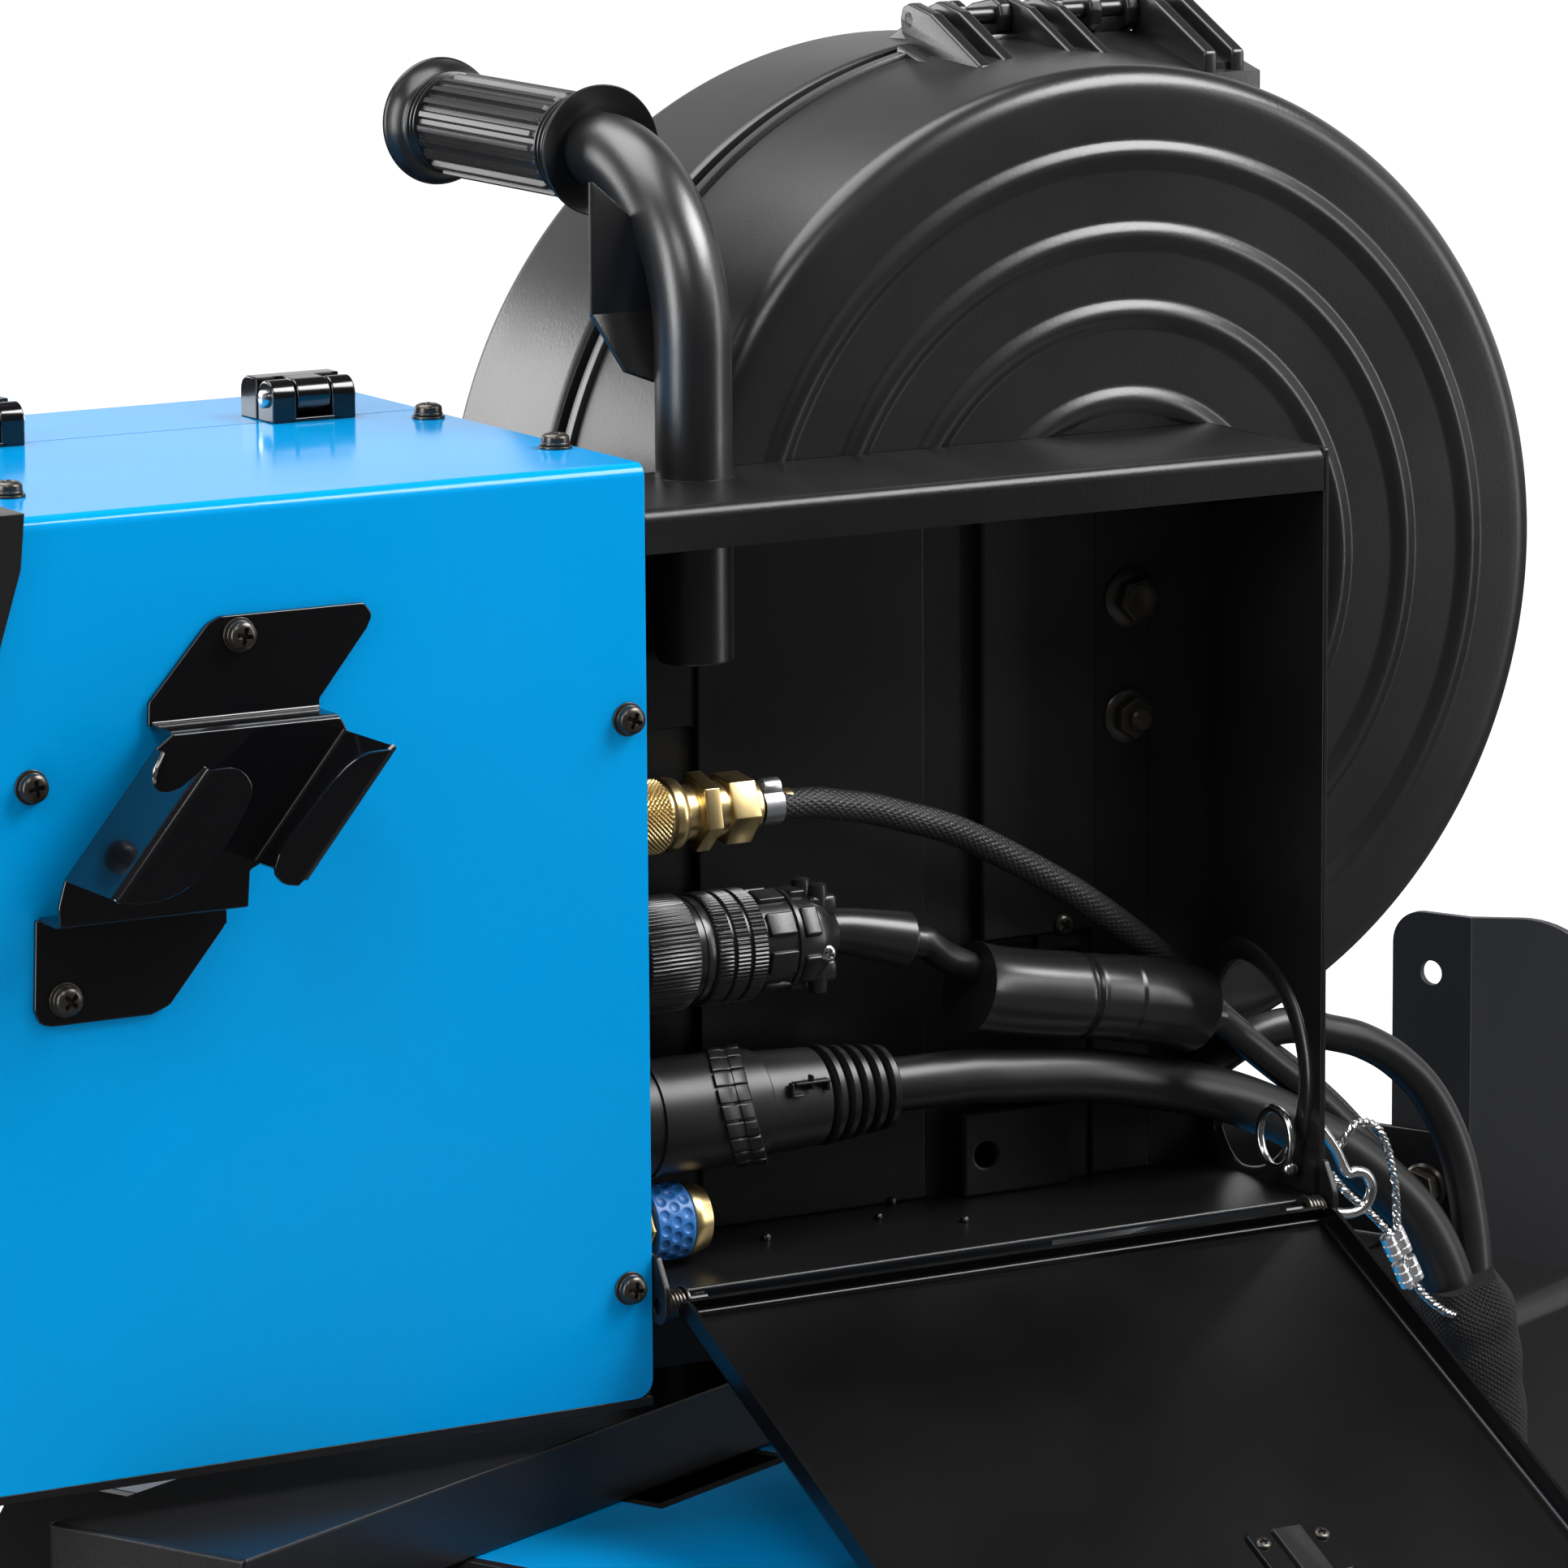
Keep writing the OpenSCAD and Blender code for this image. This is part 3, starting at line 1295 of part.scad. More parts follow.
module pressure_arm() {
    axis_z = wire_z + roll_r;
    color("#2d2f33") on_feeder() {
        difference() {
            union() {
                y_rod([wire_y + 8, wire_y + 15.5], 9, arm_pivot[0], arm_pivot[1]);
                slab([feed_x, arm_pivot[0]], [wire_y + 8, wire_y + 15.5], [axis_z + 3, axis_z + 17]);
                y_rod([wire_y + 8, wire_y + 15.5], 9, feed_x, axis_z);
                slab([feed_x - 40, feed_x], [wire_y + 8, wire_y + 15.5], [axis_z, axis_z + 9]);
                z_rod([axis_z + 9 - e, axis_z + 42], 7, feed_x - 33, wire_y + 12);
            }
            y_rod([wire_y + 7, wire_y + 17], 5 + run_fit, arm_pivot[0], arm_pivot[1]);
        }
        y_rod([wire_y - 6, wire_y + 8 + e], 6, feed_x, axis_z);
    }
}

module pressure_roll() {
    color("#c9ccd0") on_feeder() translate([feed_x, wire_y, wire_z + roll_r]) difference() {
        y_rod([-6, 6], roll_r - side_gap);
        y_rod([-7, 7], 6 + run_fit);
    }
}

// ---------- connectors and cables ----------

module gas_coupler() {
    color("#c29a45") on_feeder() {
        turned_x([[0, 0], [0, 11.8], [21, 11.8], [22, 9], [28, 9], [29, 11.5], [34, 11.5], [34.5, 10.2],
            [38, 10.2]], connector_y, gas_z);
        x_rod([38 - e, 45], 13, connector_y, gas_z, $fn = 6);
        x_rod([45 - e, 48], 10, connector_y, gas_z);
        x_rod([48 - e, 60], 12, connector_y, gas_z, $fn = 6);
        turned_x([[60 - e, 0], [60, 8.5], [63.5, 7], [63.5, 4.6], [72, 4.6]], connector_y, gas_z);
    }
}

module control_plug() {
    color("#1a1a1c") on_feeder() {
        turned_x([[0, 0], [0, 20], [5, 20], [6, 17], [15, 17], [15, 18.7], [31, 18.7], [32, 17.5],
            [43, 17.5], [44, 18.3], [53, 18.3], [54, 16.8], [57, 16.8], [58, 17.8], [66, 17.8],
            [67, 15.5], [77, 15.5], [78, 14.5], [86, 11.5]], connector_y, control_z);
        turned_x([[86 - e, 0], [86, 10.3], [90, 9.8], [119, 9.4], [121, 8.6]], connector_y, control_z - 5);
        for (s = [-1, 1])
            slab([76, 90], [connector_y - 6, connector_y + 6], s > 0 ? [control_z + 8, control_z + 15.5]
                : [control_z - 16.5, control_z - 8]);
    }
}

module power_plug() {
    color("#1a1a1c") on_feeder() {
        turned_x([[0, 0], [0, 21], [4, 21], [5, 18.2], [39, 19], [40, 20], [60, 18.6], [61, 17],
            [84, 15.6]], connector_y, power_z);
        for (i = [0:4])
            x_rod([85 + i * 6, 89 + i * 6], 15.8 - i * 0.7, connector_y, power_z);
        x_rod([84 - e, 115], 11.5, connector_y, power_z);
    }
}

module water_couplers() {
    color("#c29a45") on_feeder() {
        turned_x([[0, 0], [0, 11.5], [13, 11.5], [14, 12.4], [30, 12.4], [31, 10.5], [37, 10.5],
            [38, 8.4], [43, 7.4]], connector_y - 0.6, water_z + 7.5);
        turned_x([[0, 0], [0, 11], [10, 11], [11, 9], [21, 9]], connector_y + 23, water_z + 7.5);
    }
}

module inner_cables() {
    color("#1b1b1d") on_feeder() {
        route_tube(power_route, power_cable_d, 10);
        route_tube(control_route, control_cable_d);
        route_tube(gas_route, gas_hose_d);
        route_tube(arch_route, water_hose_d);
        route_tube(rubber_route, 28, 12);
    }
}

module bundle_sleeve() {
    color("#101011") on_cart() route_tube(bundle_route, bundle_d, 12);
}

module tether() {
    color("#b9bcc0") on_feeder() {
        route_tube(tether_route, 2.6, 6);
        translate([276, 20, 40]) rotate([90, 0, 0]) rotate_extrude($fn = 32)
            translate([9, 0]) circle(1.6);
        for (x = [301, 305])
            translate([x, 20, -2 - (x - 301)]) rotate([0, 20, 0])
                translate([0, 0, -14]) cylinder(h = 14, r = 3.2);
    }
}

module feeder_screws() {
    color("#141414") on_feeder() {
        for (p = [[-7, 219.7], [-8.3, 36.6], [-212.6, 218.4]]) {
            y_rod([-1.4, 0], 5.6, p[0], p[1]);
            y_rod([-5, -1.4], 5, p[0], p[1]);
        }
        for (p = [[-9, 127.3], [-7.3, 44.6], [-197.7, 43.5], [-198, 127]]) {
            z_rod([box_h, box_h + 1.4], 5.6, p[0], p[1]);
            z_rod([box_h + 1.4, box_h + 5], 5, p[0], p[1]);
        }
    }
}

chassis();
rear_axle();
push_handle();
rear_rim_near();
rear_rim_far();
rear_tyre_near();
rear_tyre_far();
caster_fork_near();
caster_fork_far();
caster_wheel_near();
caster_wheel_far();
cooler_case();
cooler_front();
coolant_tank();
filler_cap();
source_base();
source_cover();
source_front();
source_rear();
source_sockets();
main_switch();
transformer();
source_fan();
support_beam();
cradle_bracket();
bottle_rests();
cradle_bolts();
feeder_base();
feeder_shell();
front_bezel();
knob_upper();
knob_lower();
torch_socket();
feeder_door();
hinge_blocks();
hinge_leaves();
rear_housing();
hole_trim();
flap_door();
flap_latch();
handle_tube();
handle_grip();
torch_holder();
drum_near();
drum_far();
spool();
spool_hub();
wire_winding();
drive_unit();
feed_roll();
pressure_arm();
pressure_roll();
gas_coupler();
control_plug();
power_plug();
water_couplers();
inner_cables();
tether();
bundle_sleeve();
feeder_screws();
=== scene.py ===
"""Dresses the cart-mounted MIG welder: camera, soft light, finishes, and smooth surfaces over its solids.

Shapes are worked out in millimetres, in the feeder's or the cart's own axes, and put into the
row frame (metres) when they become meshes.
"""

import json
import math

import bmesh
import bpy
import numpy as np
from mathutils import Matrix, Vector
from mathutils.geometry import tessellate_polygon

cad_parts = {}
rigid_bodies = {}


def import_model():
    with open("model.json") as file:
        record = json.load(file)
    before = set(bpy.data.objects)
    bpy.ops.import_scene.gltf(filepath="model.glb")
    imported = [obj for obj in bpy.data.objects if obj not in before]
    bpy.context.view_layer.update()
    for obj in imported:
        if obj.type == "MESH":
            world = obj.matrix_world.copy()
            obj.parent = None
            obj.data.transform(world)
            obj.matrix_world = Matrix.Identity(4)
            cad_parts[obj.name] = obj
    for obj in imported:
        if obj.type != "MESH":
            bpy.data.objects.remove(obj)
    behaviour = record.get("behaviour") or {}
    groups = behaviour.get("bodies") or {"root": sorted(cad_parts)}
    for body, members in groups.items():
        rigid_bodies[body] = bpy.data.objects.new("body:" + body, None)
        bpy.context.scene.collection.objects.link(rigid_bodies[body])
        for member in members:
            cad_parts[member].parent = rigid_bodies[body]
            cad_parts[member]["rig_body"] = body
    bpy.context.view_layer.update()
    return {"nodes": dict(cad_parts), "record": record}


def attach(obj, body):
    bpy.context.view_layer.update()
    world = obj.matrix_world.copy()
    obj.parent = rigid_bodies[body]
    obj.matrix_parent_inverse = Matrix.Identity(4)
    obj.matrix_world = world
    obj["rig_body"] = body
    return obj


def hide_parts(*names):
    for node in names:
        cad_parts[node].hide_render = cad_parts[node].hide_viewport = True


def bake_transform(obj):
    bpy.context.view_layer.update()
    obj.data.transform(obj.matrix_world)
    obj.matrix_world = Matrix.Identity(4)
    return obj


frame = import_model()

# The swivel axis in the row frame, the feeder's floor and its turn, and the pivot in the feeder box.
SWIVEL = np.array([-110.0, 49.4088, 0.0])
FEEDER_Z = 871.0
FEEDER_TURN = math.radians(25)
FEEDER_PIVOT = np.array([83.0, 105.0, 0.0])


def on_cart(points):
    """Cart axes to the row frame: moved by the swivel axis's place, then millimetres to metres."""
    return (np.asarray(points, float) + SWIVEL) * 0.001


def on_feeder(points):
    """Feeder axes to the row frame: turned clockwise about the pivot, then lifted to the feeder's floor."""
    p = np.asarray(points, float) - FEEDER_PIVOT
    c, s = math.cos(FEEDER_TURN), math.sin(FEEDER_TURN)
    turned_points = np.stack(
        [c * p[..., 0] + s * p[..., 1], c * p[..., 1] - s * p[..., 0], p[..., 2]], -1
    )
    return on_cart(turned_points + [0, 0, FEEDER_Z])


# ---------- camera, light and surroundings ----------


def place_camera():
    """Looks along a line turned 34.83 degrees from +X and 10.5 degrees down, with a long lens."""
    turn, dip, roll = math.radians(34.83), math.radians(10.5), math.radians(-0.38)
    forward = Vector(
        (math.cos(turn) * math.cos(dip), math.sin(turn) * math.cos(dip), -math.sin(dip))
    )
    right = Vector((math.sin(turn), -math.cos(turn), 0))
    up = right.cross(forward)
    across = right * math.cos(roll) + up * math.sin(roll)
    upright = up * math.cos(roll) - right * math.sin(roll)
    data = bpy.data.cameras.new("viewpoint")
    data.lens, data.sensor_width = 189.27, 36
    data.clip_start, data.clip_end = 0.05, 200
    camera = bpy.data.objects.new("viewpoint", data)
    rows = Matrix((across, upright, -forward)).transposed()
    camera.matrix_world = Matrix.Translation((-2.2945, -1.4996, 1.5408)) @ rows.to_4x4()
    bpy.context.scene.collection.objects.link(camera)
    bpy.context.scene.camera = camera


def soft_box(name, place, target, size, power):
    """A rectangular lamp at place that faces target."""
    data = bpy.data.lights.new(name, "AREA")
    data.shape, data.energy = "RECTANGLE", power
    data.size, data.size_y = size
    lamp = bpy.data.objects.new(name, data)
    aim = Vector(target) - Vector(place)
    lamp.matrix_world = Matrix.Translation(place) @ aim.to_track_quat("-Z", "Y").to_matrix().to_4x4()
    bpy.context.scene.collection.objects.link(lamp)


def node_maker(tree):
    """Two functions for a tree: make adds a node, and combine adds a maths node and gives its result."""
    def make(kind, inputs=None, **settings):
        node = tree.nodes.new("ShaderNode" + kind)
        for name, value in settings.items():
            setattr(node, name, value)
        for name, value in (inputs or {}).items():
            if isinstance(value, bpy.types.NodeSocket):
                tree.links.new(value, node.inputs[name])
            else:
                node.inputs[name].default_value = value
        return node

    def combine(operation, *values):
        return make("Math", dict(enumerate(values)), operation=operation).outputs[0]

    return make, combine


def white_surroundings():
    """White where it is seen; the surfaces mirror a low pale wall behind the welder and a dim room."""
    world = bpy.data.worlds.new("studio")
    bpy.context.scene.world = world
    world.use_nodes = True
    world.node_tree.nodes.clear()
    make, combine = node_maker(world.node_tree)
    ray = make("LightPath").outputs
    toward = make("TexCoord").outputs["Generated"]
    behind = make("VectorMath", {0: toward, 1: (0.82, 0.57, 0)}, operation="DOT_PRODUCT").outputs["Value"]
    wall = make("MapRange", {"Value": behind, "From Min": -0.1, "From Max": 0.55},
                interpolation_type="SMOOTHSTEP")
    height = make("SeparateXYZ", {0: toward}).outputs["Z"]
    low = make("MapRange", {"Value": height, "From Min": 0.62, "From Max": 0.28},
               interpolation_type="SMOOTHSTEP")
    both = combine("MULTIPLY", wall.outputs["Result"], low.outputs["Result"])
    level = make("MapRange", {"Value": both, "To Min": 0.05, "To Max": 0.74}).outputs["Result"]
    mirrored = make("Background", {"Color": level, "Strength": 1})
    ambient = make("Background", {"Color": (0.96, 0.98, 1, 1), "Strength": 0.3})
    seen = make("Background", {"Color": (1, 1, 1, 1), "Strength": 1})
    shiny = combine("MAXIMUM", ray["Is Glossy Ray"], ray["Is Transmission Ray"])
    unseen = make("MixShader", {0: shiny, 1: ambient.outputs[0], 2: mirrored.outputs[0]})
    whole = make("MixShader", {0: ray["Is Camera Ray"], 1: unseen.outputs[0], 2: seen.outputs[0]})
    make("OutputWorld", {"Surface": whole.outputs[0]})


def pale_floor():
    """A round pale floor 40 m across; it keeps the shadow and otherwise runs into the white air."""
    t = np.linspace(0, 2 * np.pi, 96, endpoint=False)
    rim = np.stack([20 * np.cos(t), 20 * np.sin(t), 0 * t], -1)
    mesh = bpy.data.meshes.new("floor")
    mesh.from_pydata(rim.tolist(), [], [list(range(96))])
    floor = bpy.data.objects.new("floor", mesh)
    bpy.context.scene.collection.objects.link(floor)
    material = bpy.data.materials.new("floor_paint")
    material.use_nodes = True
    material.node_tree.nodes.clear()
    make, combine = node_maker(material.node_tree)
    ray = make("LightPath").outputs
    shade = make("MapRange", {"Value": ray["Is Glossy Ray"], "To Min": 0.8, "To Max": 0.1})
    matt = make("BsdfDiffuse", {"Color": shade.outputs["Result"]})
    lift = make("Emission", {"Strength": combine("MULTIPLY", ray["Is Camera Ray"], 0.85)})
    both = make("AddShader", {0: matt.outputs[0], 1: lift.outputs[0]})
    make("OutputMaterial", {"Surface": both.outputs[0]})
    mesh.materials.append(material)


# Each lamp's place, the point it faces, its width and height in metres, and its watts.
MIDDLE = (0.0, 0.0, 1.0)
LAMPS = {
    "key_front": ((0.7, -1.5, 2.9), MIDDLE, (1.5, 1.2), 95),
    "left_strip": ((-2.35, 0.72, 1.55), (0, 0, 1.25), (0.7, 2.1), 46),
    "right_strip": ((1.15, -2.2, 1.5), MIDDLE, (0.5, 1.6), 16),
    "overhead": ((-0.2, 0.9, 3.0), MIDDLE, (1.8, 1.6), 52),
    "rim_behind": ((-0.15, 2.5, 1.5), (0.05, 0.3, 1.15), (1.5, 0.8), 18),
    "high_left": ((-1.75, -0.75, 2.75), (0, -0.1, 1.05), (0.8, 0.6), 12),
}

place_camera()
bpy.context.scene.view_settings.view_transform = "Standard"
white_surroundings()
pale_floor()
for lamp_name, lamp_settings in LAMPS.items():
    soft_box(lamp_name, *lamp_settings)


# ---------- finishes ----------


def number_group(name, inputs, outputs):
    """A shader node group with named number sockets: its tree, and the sockets on its inner side."""
    tree = bpy.data.node_groups.new(name, "ShaderNodeTree")
    for label, value in inputs.items():
        tree.interface.new_socket(label, in_out="INPUT", socket_type="NodeSocketFloat").default_value = value
    for label in outputs:
        tree.interface.new_socket(label, in_out="OUTPUT", socket_type="NodeSocketFloat")
    return tree, tree.nodes.new("NodeGroupInput").outputs, tree.nodes.new("NodeGroupOutput").inputs


def paint_grain_group():
    """Fine orange-peel height and a faint roughness change, both from noise on object coordinates."""
    tree, given, out = number_group("paint_grain", {"Grain Size": 900, "Roughness": 0.4},
                                    ["Height", "Roughness"])
    make, combine = node_maker(tree)
    place = make("TexCoord").outputs["Object"]
    fine = make("TexNoise", {"Vector": place, "Scale": given["Grain Size"], "Detail": 3})
    broad = make("TexNoise", {"Vector": place, "Scale": 9, "Detail": 4})
    spread = make("MapRange", {"Value": broad.outputs["Fac"], "From Min": 0.3, "From Max": 0.7,
                               "To Min": -0.05, "To Max": 0.05})
    tree.links.new(fine.outputs["Fac"], out["Height"])
    tree.links.new(combine("ADD", given["Roughness"], spread.outputs["Result"]), out["Roughness"])
    return tree


def dust_group():
    """A sparse mask of pale specks and soft smears: two noises, each kept only where it is high."""
    tree, given, out = number_group("light_dust", {"Amount": 0.1}, ["Mask"])
    make, combine = node_maker(tree)
    place = make("TexCoord").outputs["Object"]
    specks = make("TexNoise", {"Vector": place, "Scale": 420})
    smears = make("TexNoise", {"Vector": place, "Scale": 14, "Detail": 5})
    high = make("MapRange", {"Value": specks.outputs["Fac"], "From Min": 0.68, "From Max": 0.78})
    soft = make("MapRange", {"Value": smears.outputs["Fac"], "From Min": 0.45, "From Max": 0.8})
    both = combine("ADD", high.outputs["Result"], soft.outputs["Result"])
    tree.links.new(combine("MULTIPLY", both, given["Amount"]), out["Mask"])
    return tree


def weave_group():
    """Braid on a cord's own UV: two waves that cross, U around the cord and V along it."""
    tree, given, out = number_group("braid", {"Around": 12, "Along": 300}, ["Height"])
    make, combine = node_maker(tree)
    cord = make("SeparateXYZ", {0: make("TexCoord").outputs["UV"]}).outputs
    around = combine("MULTIPLY", cord["X"], given["Around"])
    along = combine("MULTIPLY", cord["Y"], given["Along"])
    turns = [combine("MULTIPLY", combine(way, around, along), 2 * math.pi) for way in ("ADD", "SUBTRACT")]
    tree.links.new(combine("MAXIMUM", *[combine("SINE", turn) for turn in turns]), out["Height"])
    return tree


GRAIN, DUST, BRAID = paint_grain_group(), dust_group(), weave_group()
DUST_COLOUR = (0.25, 0.25, 0.26, 1)


def finish_material(name, colour, rough, metal=0.0, coat=0.0, grain=900, bump=0.0, dust=0.0, braid=None,
                    specular=0.5, sheen=0.0):
    """One surface finish: colour with dust over it, roughness that varies a little, and a fine bump."""
    material = bpy.data.materials.new(name)
    material.use_nodes = True
    tree = material.node_tree
    shader = tree.nodes["Principled BSDF"].inputs
    make = node_maker(tree)[0]
    shader["Base Color"].default_value = (*colour, 1)
    shader["Metallic"].default_value = metal
    shader["Coat Weight"].default_value = coat
    shader["Coat Roughness"].default_value = 0.06
    shader["Specular IOR Level"].default_value = specular
    shader["Sheen Weight"].default_value = sheen
    source = make("Group", {"Grain Size": grain, "Roughness": rough}, node_tree=GRAIN)
    tree.links.new(source.outputs["Roughness"], shader["Roughness"])
    if braid:
        source = make("Group", {"Around": braid[0], "Along": braid[1]}, node_tree=BRAID)
    if bump:
        relief = make("Bump", {"Strength": 1, "Distance": bump * 0.001, "Height": source.outputs["Height"]})
        tree.links.new(relief.outputs["Normal"], shader["Normal"])
    if dust:
        specks = make("Group", {"Amount": dust}, node_tree=DUST).outputs["Mask"]
        mixed = make("Mix", {"A": (*colour, 1), "B": DUST_COLOUR, "Factor": specks}, data_type="RGBA")
        tree.links.new(mixed.outputs["Result"], shader["Base Color"])
    return material


# Each finish: its material's name, colour and roughness, then what differs from the defaults.
FINISH_LIST = {
    "frame_black": ("black_powder_coat", (0.0065, 0.0065, 0.0072), 0.32,
                    dict(bump=0.05, grain=1100, dust=0.02)),
    "cover_blue": ("blue_gloss_paint", (0.0, 0.24, 0.56), 0.13, dict(bump=0.004, grain=260, specular=0.28)),
    "panel_black": ("black_moulding", (0.009, 0.009, 0.0096), 0.27, dict(bump=0.02, grain=1300, dust=0.015)),
    "drum_black": ("drum_plastic", (0.0085, 0.0085, 0.009), 0.3, dict(bump=0.04, grain=700, dust=0.02)),
    "flap_black": ("flap_gloss_coat", (0.0016, 0.0016, 0.002), 0.24, dict(bump=0.03, specular=0.3)),
    # housing_black: the frame's black powder coat made darker, as painted shade for the dim connector bay
    # under the housing's top.
    "housing_black": ("housing_powder_coat_painted_shade", (0.0042, 0.0042, 0.0048), 0.34,
                      dict(bump=0.05, grain=1100, dust=0.02, specular=0.36)),
    "tube_black": ("tube_powder_coat", (0.006, 0.006, 0.0066), 0.34, dict(bump=0.04, specular=0.85)),
    "black_gloss": ("black_gloss", (0.0028, 0.0028, 0.0034), 0.16, dict(coat=0.4)),
    "rest_grey": ("rest_powder_coat", (0.036, 0.037, 0.041), 0.42, dict(bump=0.05)),
    "sleeve_alloy": ("crimped_alloy", (0.86, 0.86, 0.87), 0.33, dict(metal=1, bump=0.02, grain=600)),
    "grip_rubber": ("grip_rubber", (0.007, 0.007, 0.0075), 0.27, dict(bump=0.02, dust=0.02, specular=0.45)),
    "cable_rubber": ("cable_rubber", (0.0055, 0.0055, 0.006), 0.38, dict(bump=0.02, dust=0.03, specular=0.4)),
    "braided_hose": ("braided_hose", (0.01, 0.01, 0.011), 0.46, dict(bump=0.13, braid=(16, 330), dust=0.03)),
    "sleeve_woven": ("woven_sleeve", (0.0035, 0.0035, 0.0038), 0.75,
                     dict(bump=0.3, braid=(46, 520), sheen=0.02, specular=0.3)),
    "tyre_rubber": ("tyre_rubber", (0.017, 0.017, 0.018), 0.7, dict(bump=0.1, dust=0.12)),
    "rim_grey": ("rim_paint", (0.10, 0.105, 0.115), 0.4, dict(bump=0.02, dust=0.05)),
    "steel": ("bright_steel", (0.62, 0.62, 0.63), 0.22, dict(metal=1, bump=0.01)),
    "zinc": ("zinc_plate", (0.55, 0.56, 0.58), 0.34, dict(metal=1, bump=0.02, grain=500)),
    "brass": ("brass", (0.76, 0.58, 0.28), 0.3, dict(metal=1, bump=0.02, grain=600)),
    "screw_black": ("blackened_screw", (0.075, 0.068, 0.06), 0.3, dict(metal=0.85, bump=0.02)),
    "tank_white": ("tank_plastic", (0.62, 0.65, 0.64), 0.45, dict(bump=0.02)),
    "cap_blue": ("cap_plastic", (0.02, 0.14, 0.42), 0.38, dict(bump=0.02)),
    "switch_red": ("switch_plastic", (0.42, 0.01, 0.01), 0.35, dict(bump=0.02)),
    "copper": ("copper_wire", (0.72, 0.36, 0.20), 0.28, dict(metal=1)),
    "coil": ("coil_varnish", (0.20, 0.07, 0.02), 0.4, dict(bump=0.05)),
    "alloy": ("cast_alloy", (0.45, 0.46, 0.47), 0.4, dict(metal=1, bump=0.05, grain=500)),
}
FINISHES = {
    slot: finish_material(name, colour, rough, **others)
    for slot, (name, colour, rough, others) in FINISH_LIST.items()
}
SLOT_OF = {part["node"]: part["material_slot"] for part in frame["record"]["subparts"]}
BODY_OF = {name: node["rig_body"] for name, node in frame["nodes"].items()}


# ---------- surfaces ----------


def angles(count):
    """Equal steps round a full circle, from 0."""
    return np.linspace(0, 2 * np.pi, count, endpoint=False)


def unit(vectors):
    """Each row divided by its length."""
    return vectors / np.linalg.norm(vectors, axis=1)[:, None]


def travelled(line):
    """Distance along a line at each of its points, from 0."""
    return np.concatenate([[0], np.cumsum(np.linalg.norm(np.diff(line, axis=0), axis=1))])


def grid_faces(rows, columns, closed=False):
    """Four-cornered faces between neighbouring points of rows that close; closed joins last row and first."""
    i, j = np.meshgrid(np.arange(rows if closed else rows - 1), np.arange(columns), indexing="ij")
    i2, j2 = (i + 1) % rows, (j + 1) % columns
    corners = [i * columns + j, i * columns + j2, i2 * columns + j2, i2 * columns + j]
    return np.stack(corners, -1).reshape(-1, 4)


def end_fans(rows, columns):
    """Triangles that close a grid's first and last row round the two points that follow the grid's own."""
    j = np.arange(columns)
    after, first, top = (j + 1) % columns, rows * columns, (rows - 1) * columns
    return [np.stack([np.full(columns, first), after, j], -1),
            np.stack([np.full(columns, first + 1), top + j, top + after], -1)]


def outward(points, faces):
    """Turns a closed skin's faces outwards, so that its volume, the sum of corner products, is positive."""
    volume = 0.0
    for block in faces:
        for k in range(1, block.shape[1] - 1):
            a, b, c = points[block[:, 0]], points[block[:, k]], points[block[:, k + 1]]
            volume += np.einsum("ij,ij->i", a - points.mean(0), np.cross(b - a, c - a)).sum()
    if volume < 0:
        faces = [block[:, ::-1] for block in faces]
    return points, faces


def joined(*skins):
    """Several skins as one: points end to end, face numbers moved on."""
    points, faces, count = [], [], 0
    for p, blocks in skins:
        points.append(p)
        faces += [block + count for block in blocks]
        count += len(p)
    return np.concatenate(points), faces


def moved(skin, shift=(0, 0, 0), turn=None):
    """A skin turned by a 3x3 matrix, then shifted."""
    points, faces = skin
    if turn is not None:
        points = points @ np.asarray(turn, float).T
    return points + np.asarray(shift, float), faces


def turn_about(axis, degrees):
    """Rotation matrix about a coordinate axis."""
    return np.array(Matrix.Rotation(math.radians(degrees), 3, axis))


# Turns for pieces: X onto Y, X onto Z, and Z out of the near side.
ALONG_Y = np.array([[0, -1, 0], [1, 0, 0], [0, 0, 1]], float)
ALONG_Z = np.array([[0, 0, -1], [0, 1, 0], [1, 0, 0]], float)
OUT_NEAR = np.array([[1, 0, 0], [0, 0, -1], [0, 1, 0]], float)


def lathe(profile, sides=96, ripple=None, ring=False):
    """Turned piece about X: point (x, r cos t, r sin t) for each profile point (x, r).

    ripple(x, t) is added to r. A ring's profile is closed; any other ends on the axis with a fan.
    """
    profile = np.asarray(profile, float)
    t = angles(sides)
    x = np.repeat(profile[:, :1], sides, 1)
    r = np.repeat(profile[:, 1:], sides, 1)
    if ripple is not None:
        r = r + ripple(x, t[None, :])
    points = np.stack([x, r * np.cos(t), r * np.sin(t)], -1).reshape(-1, 3)
    faces = [grid_faces(len(profile), sides, closed=ring)]
    if not ring:
        points = np.concatenate([points, [[profile[0, 0], 0, 0], [profile[-1, 0], 0, 0]]])
        faces += end_fans(len(profile), sides)
    return outward(points, faces)


def smooth_line(points, count):
    """A Catmull-Rom curve through the points, read at count places that are evenly spaced along it."""
    p = np.asarray(points, float)
    p = np.concatenate([2 * p[:1] - p[1:2], p, 2 * p[-1:] - p[-2:-1]])
    u = np.linspace(0, len(p) - 3 - 1e-9, 24 * (len(p) - 3))
    i = u.astype(int)
    f = (u - i)[:, None]
    a, b, c, d = p[i], p[i + 1], p[i + 2], p[i + 3]
    dense = 0.5 * (2 * b + (c - a) * f + (2 * a - 5 * b + 4 * c - d) * f**2 + (3 * b - a - 3 * c + d) * f**3)
    length = travelled(dense)
    even = np.linspace(0, length[-1], count)
    return np.stack([np.interp(even, length, dense[:, k]) for k in range(dense.shape[1])], -1)


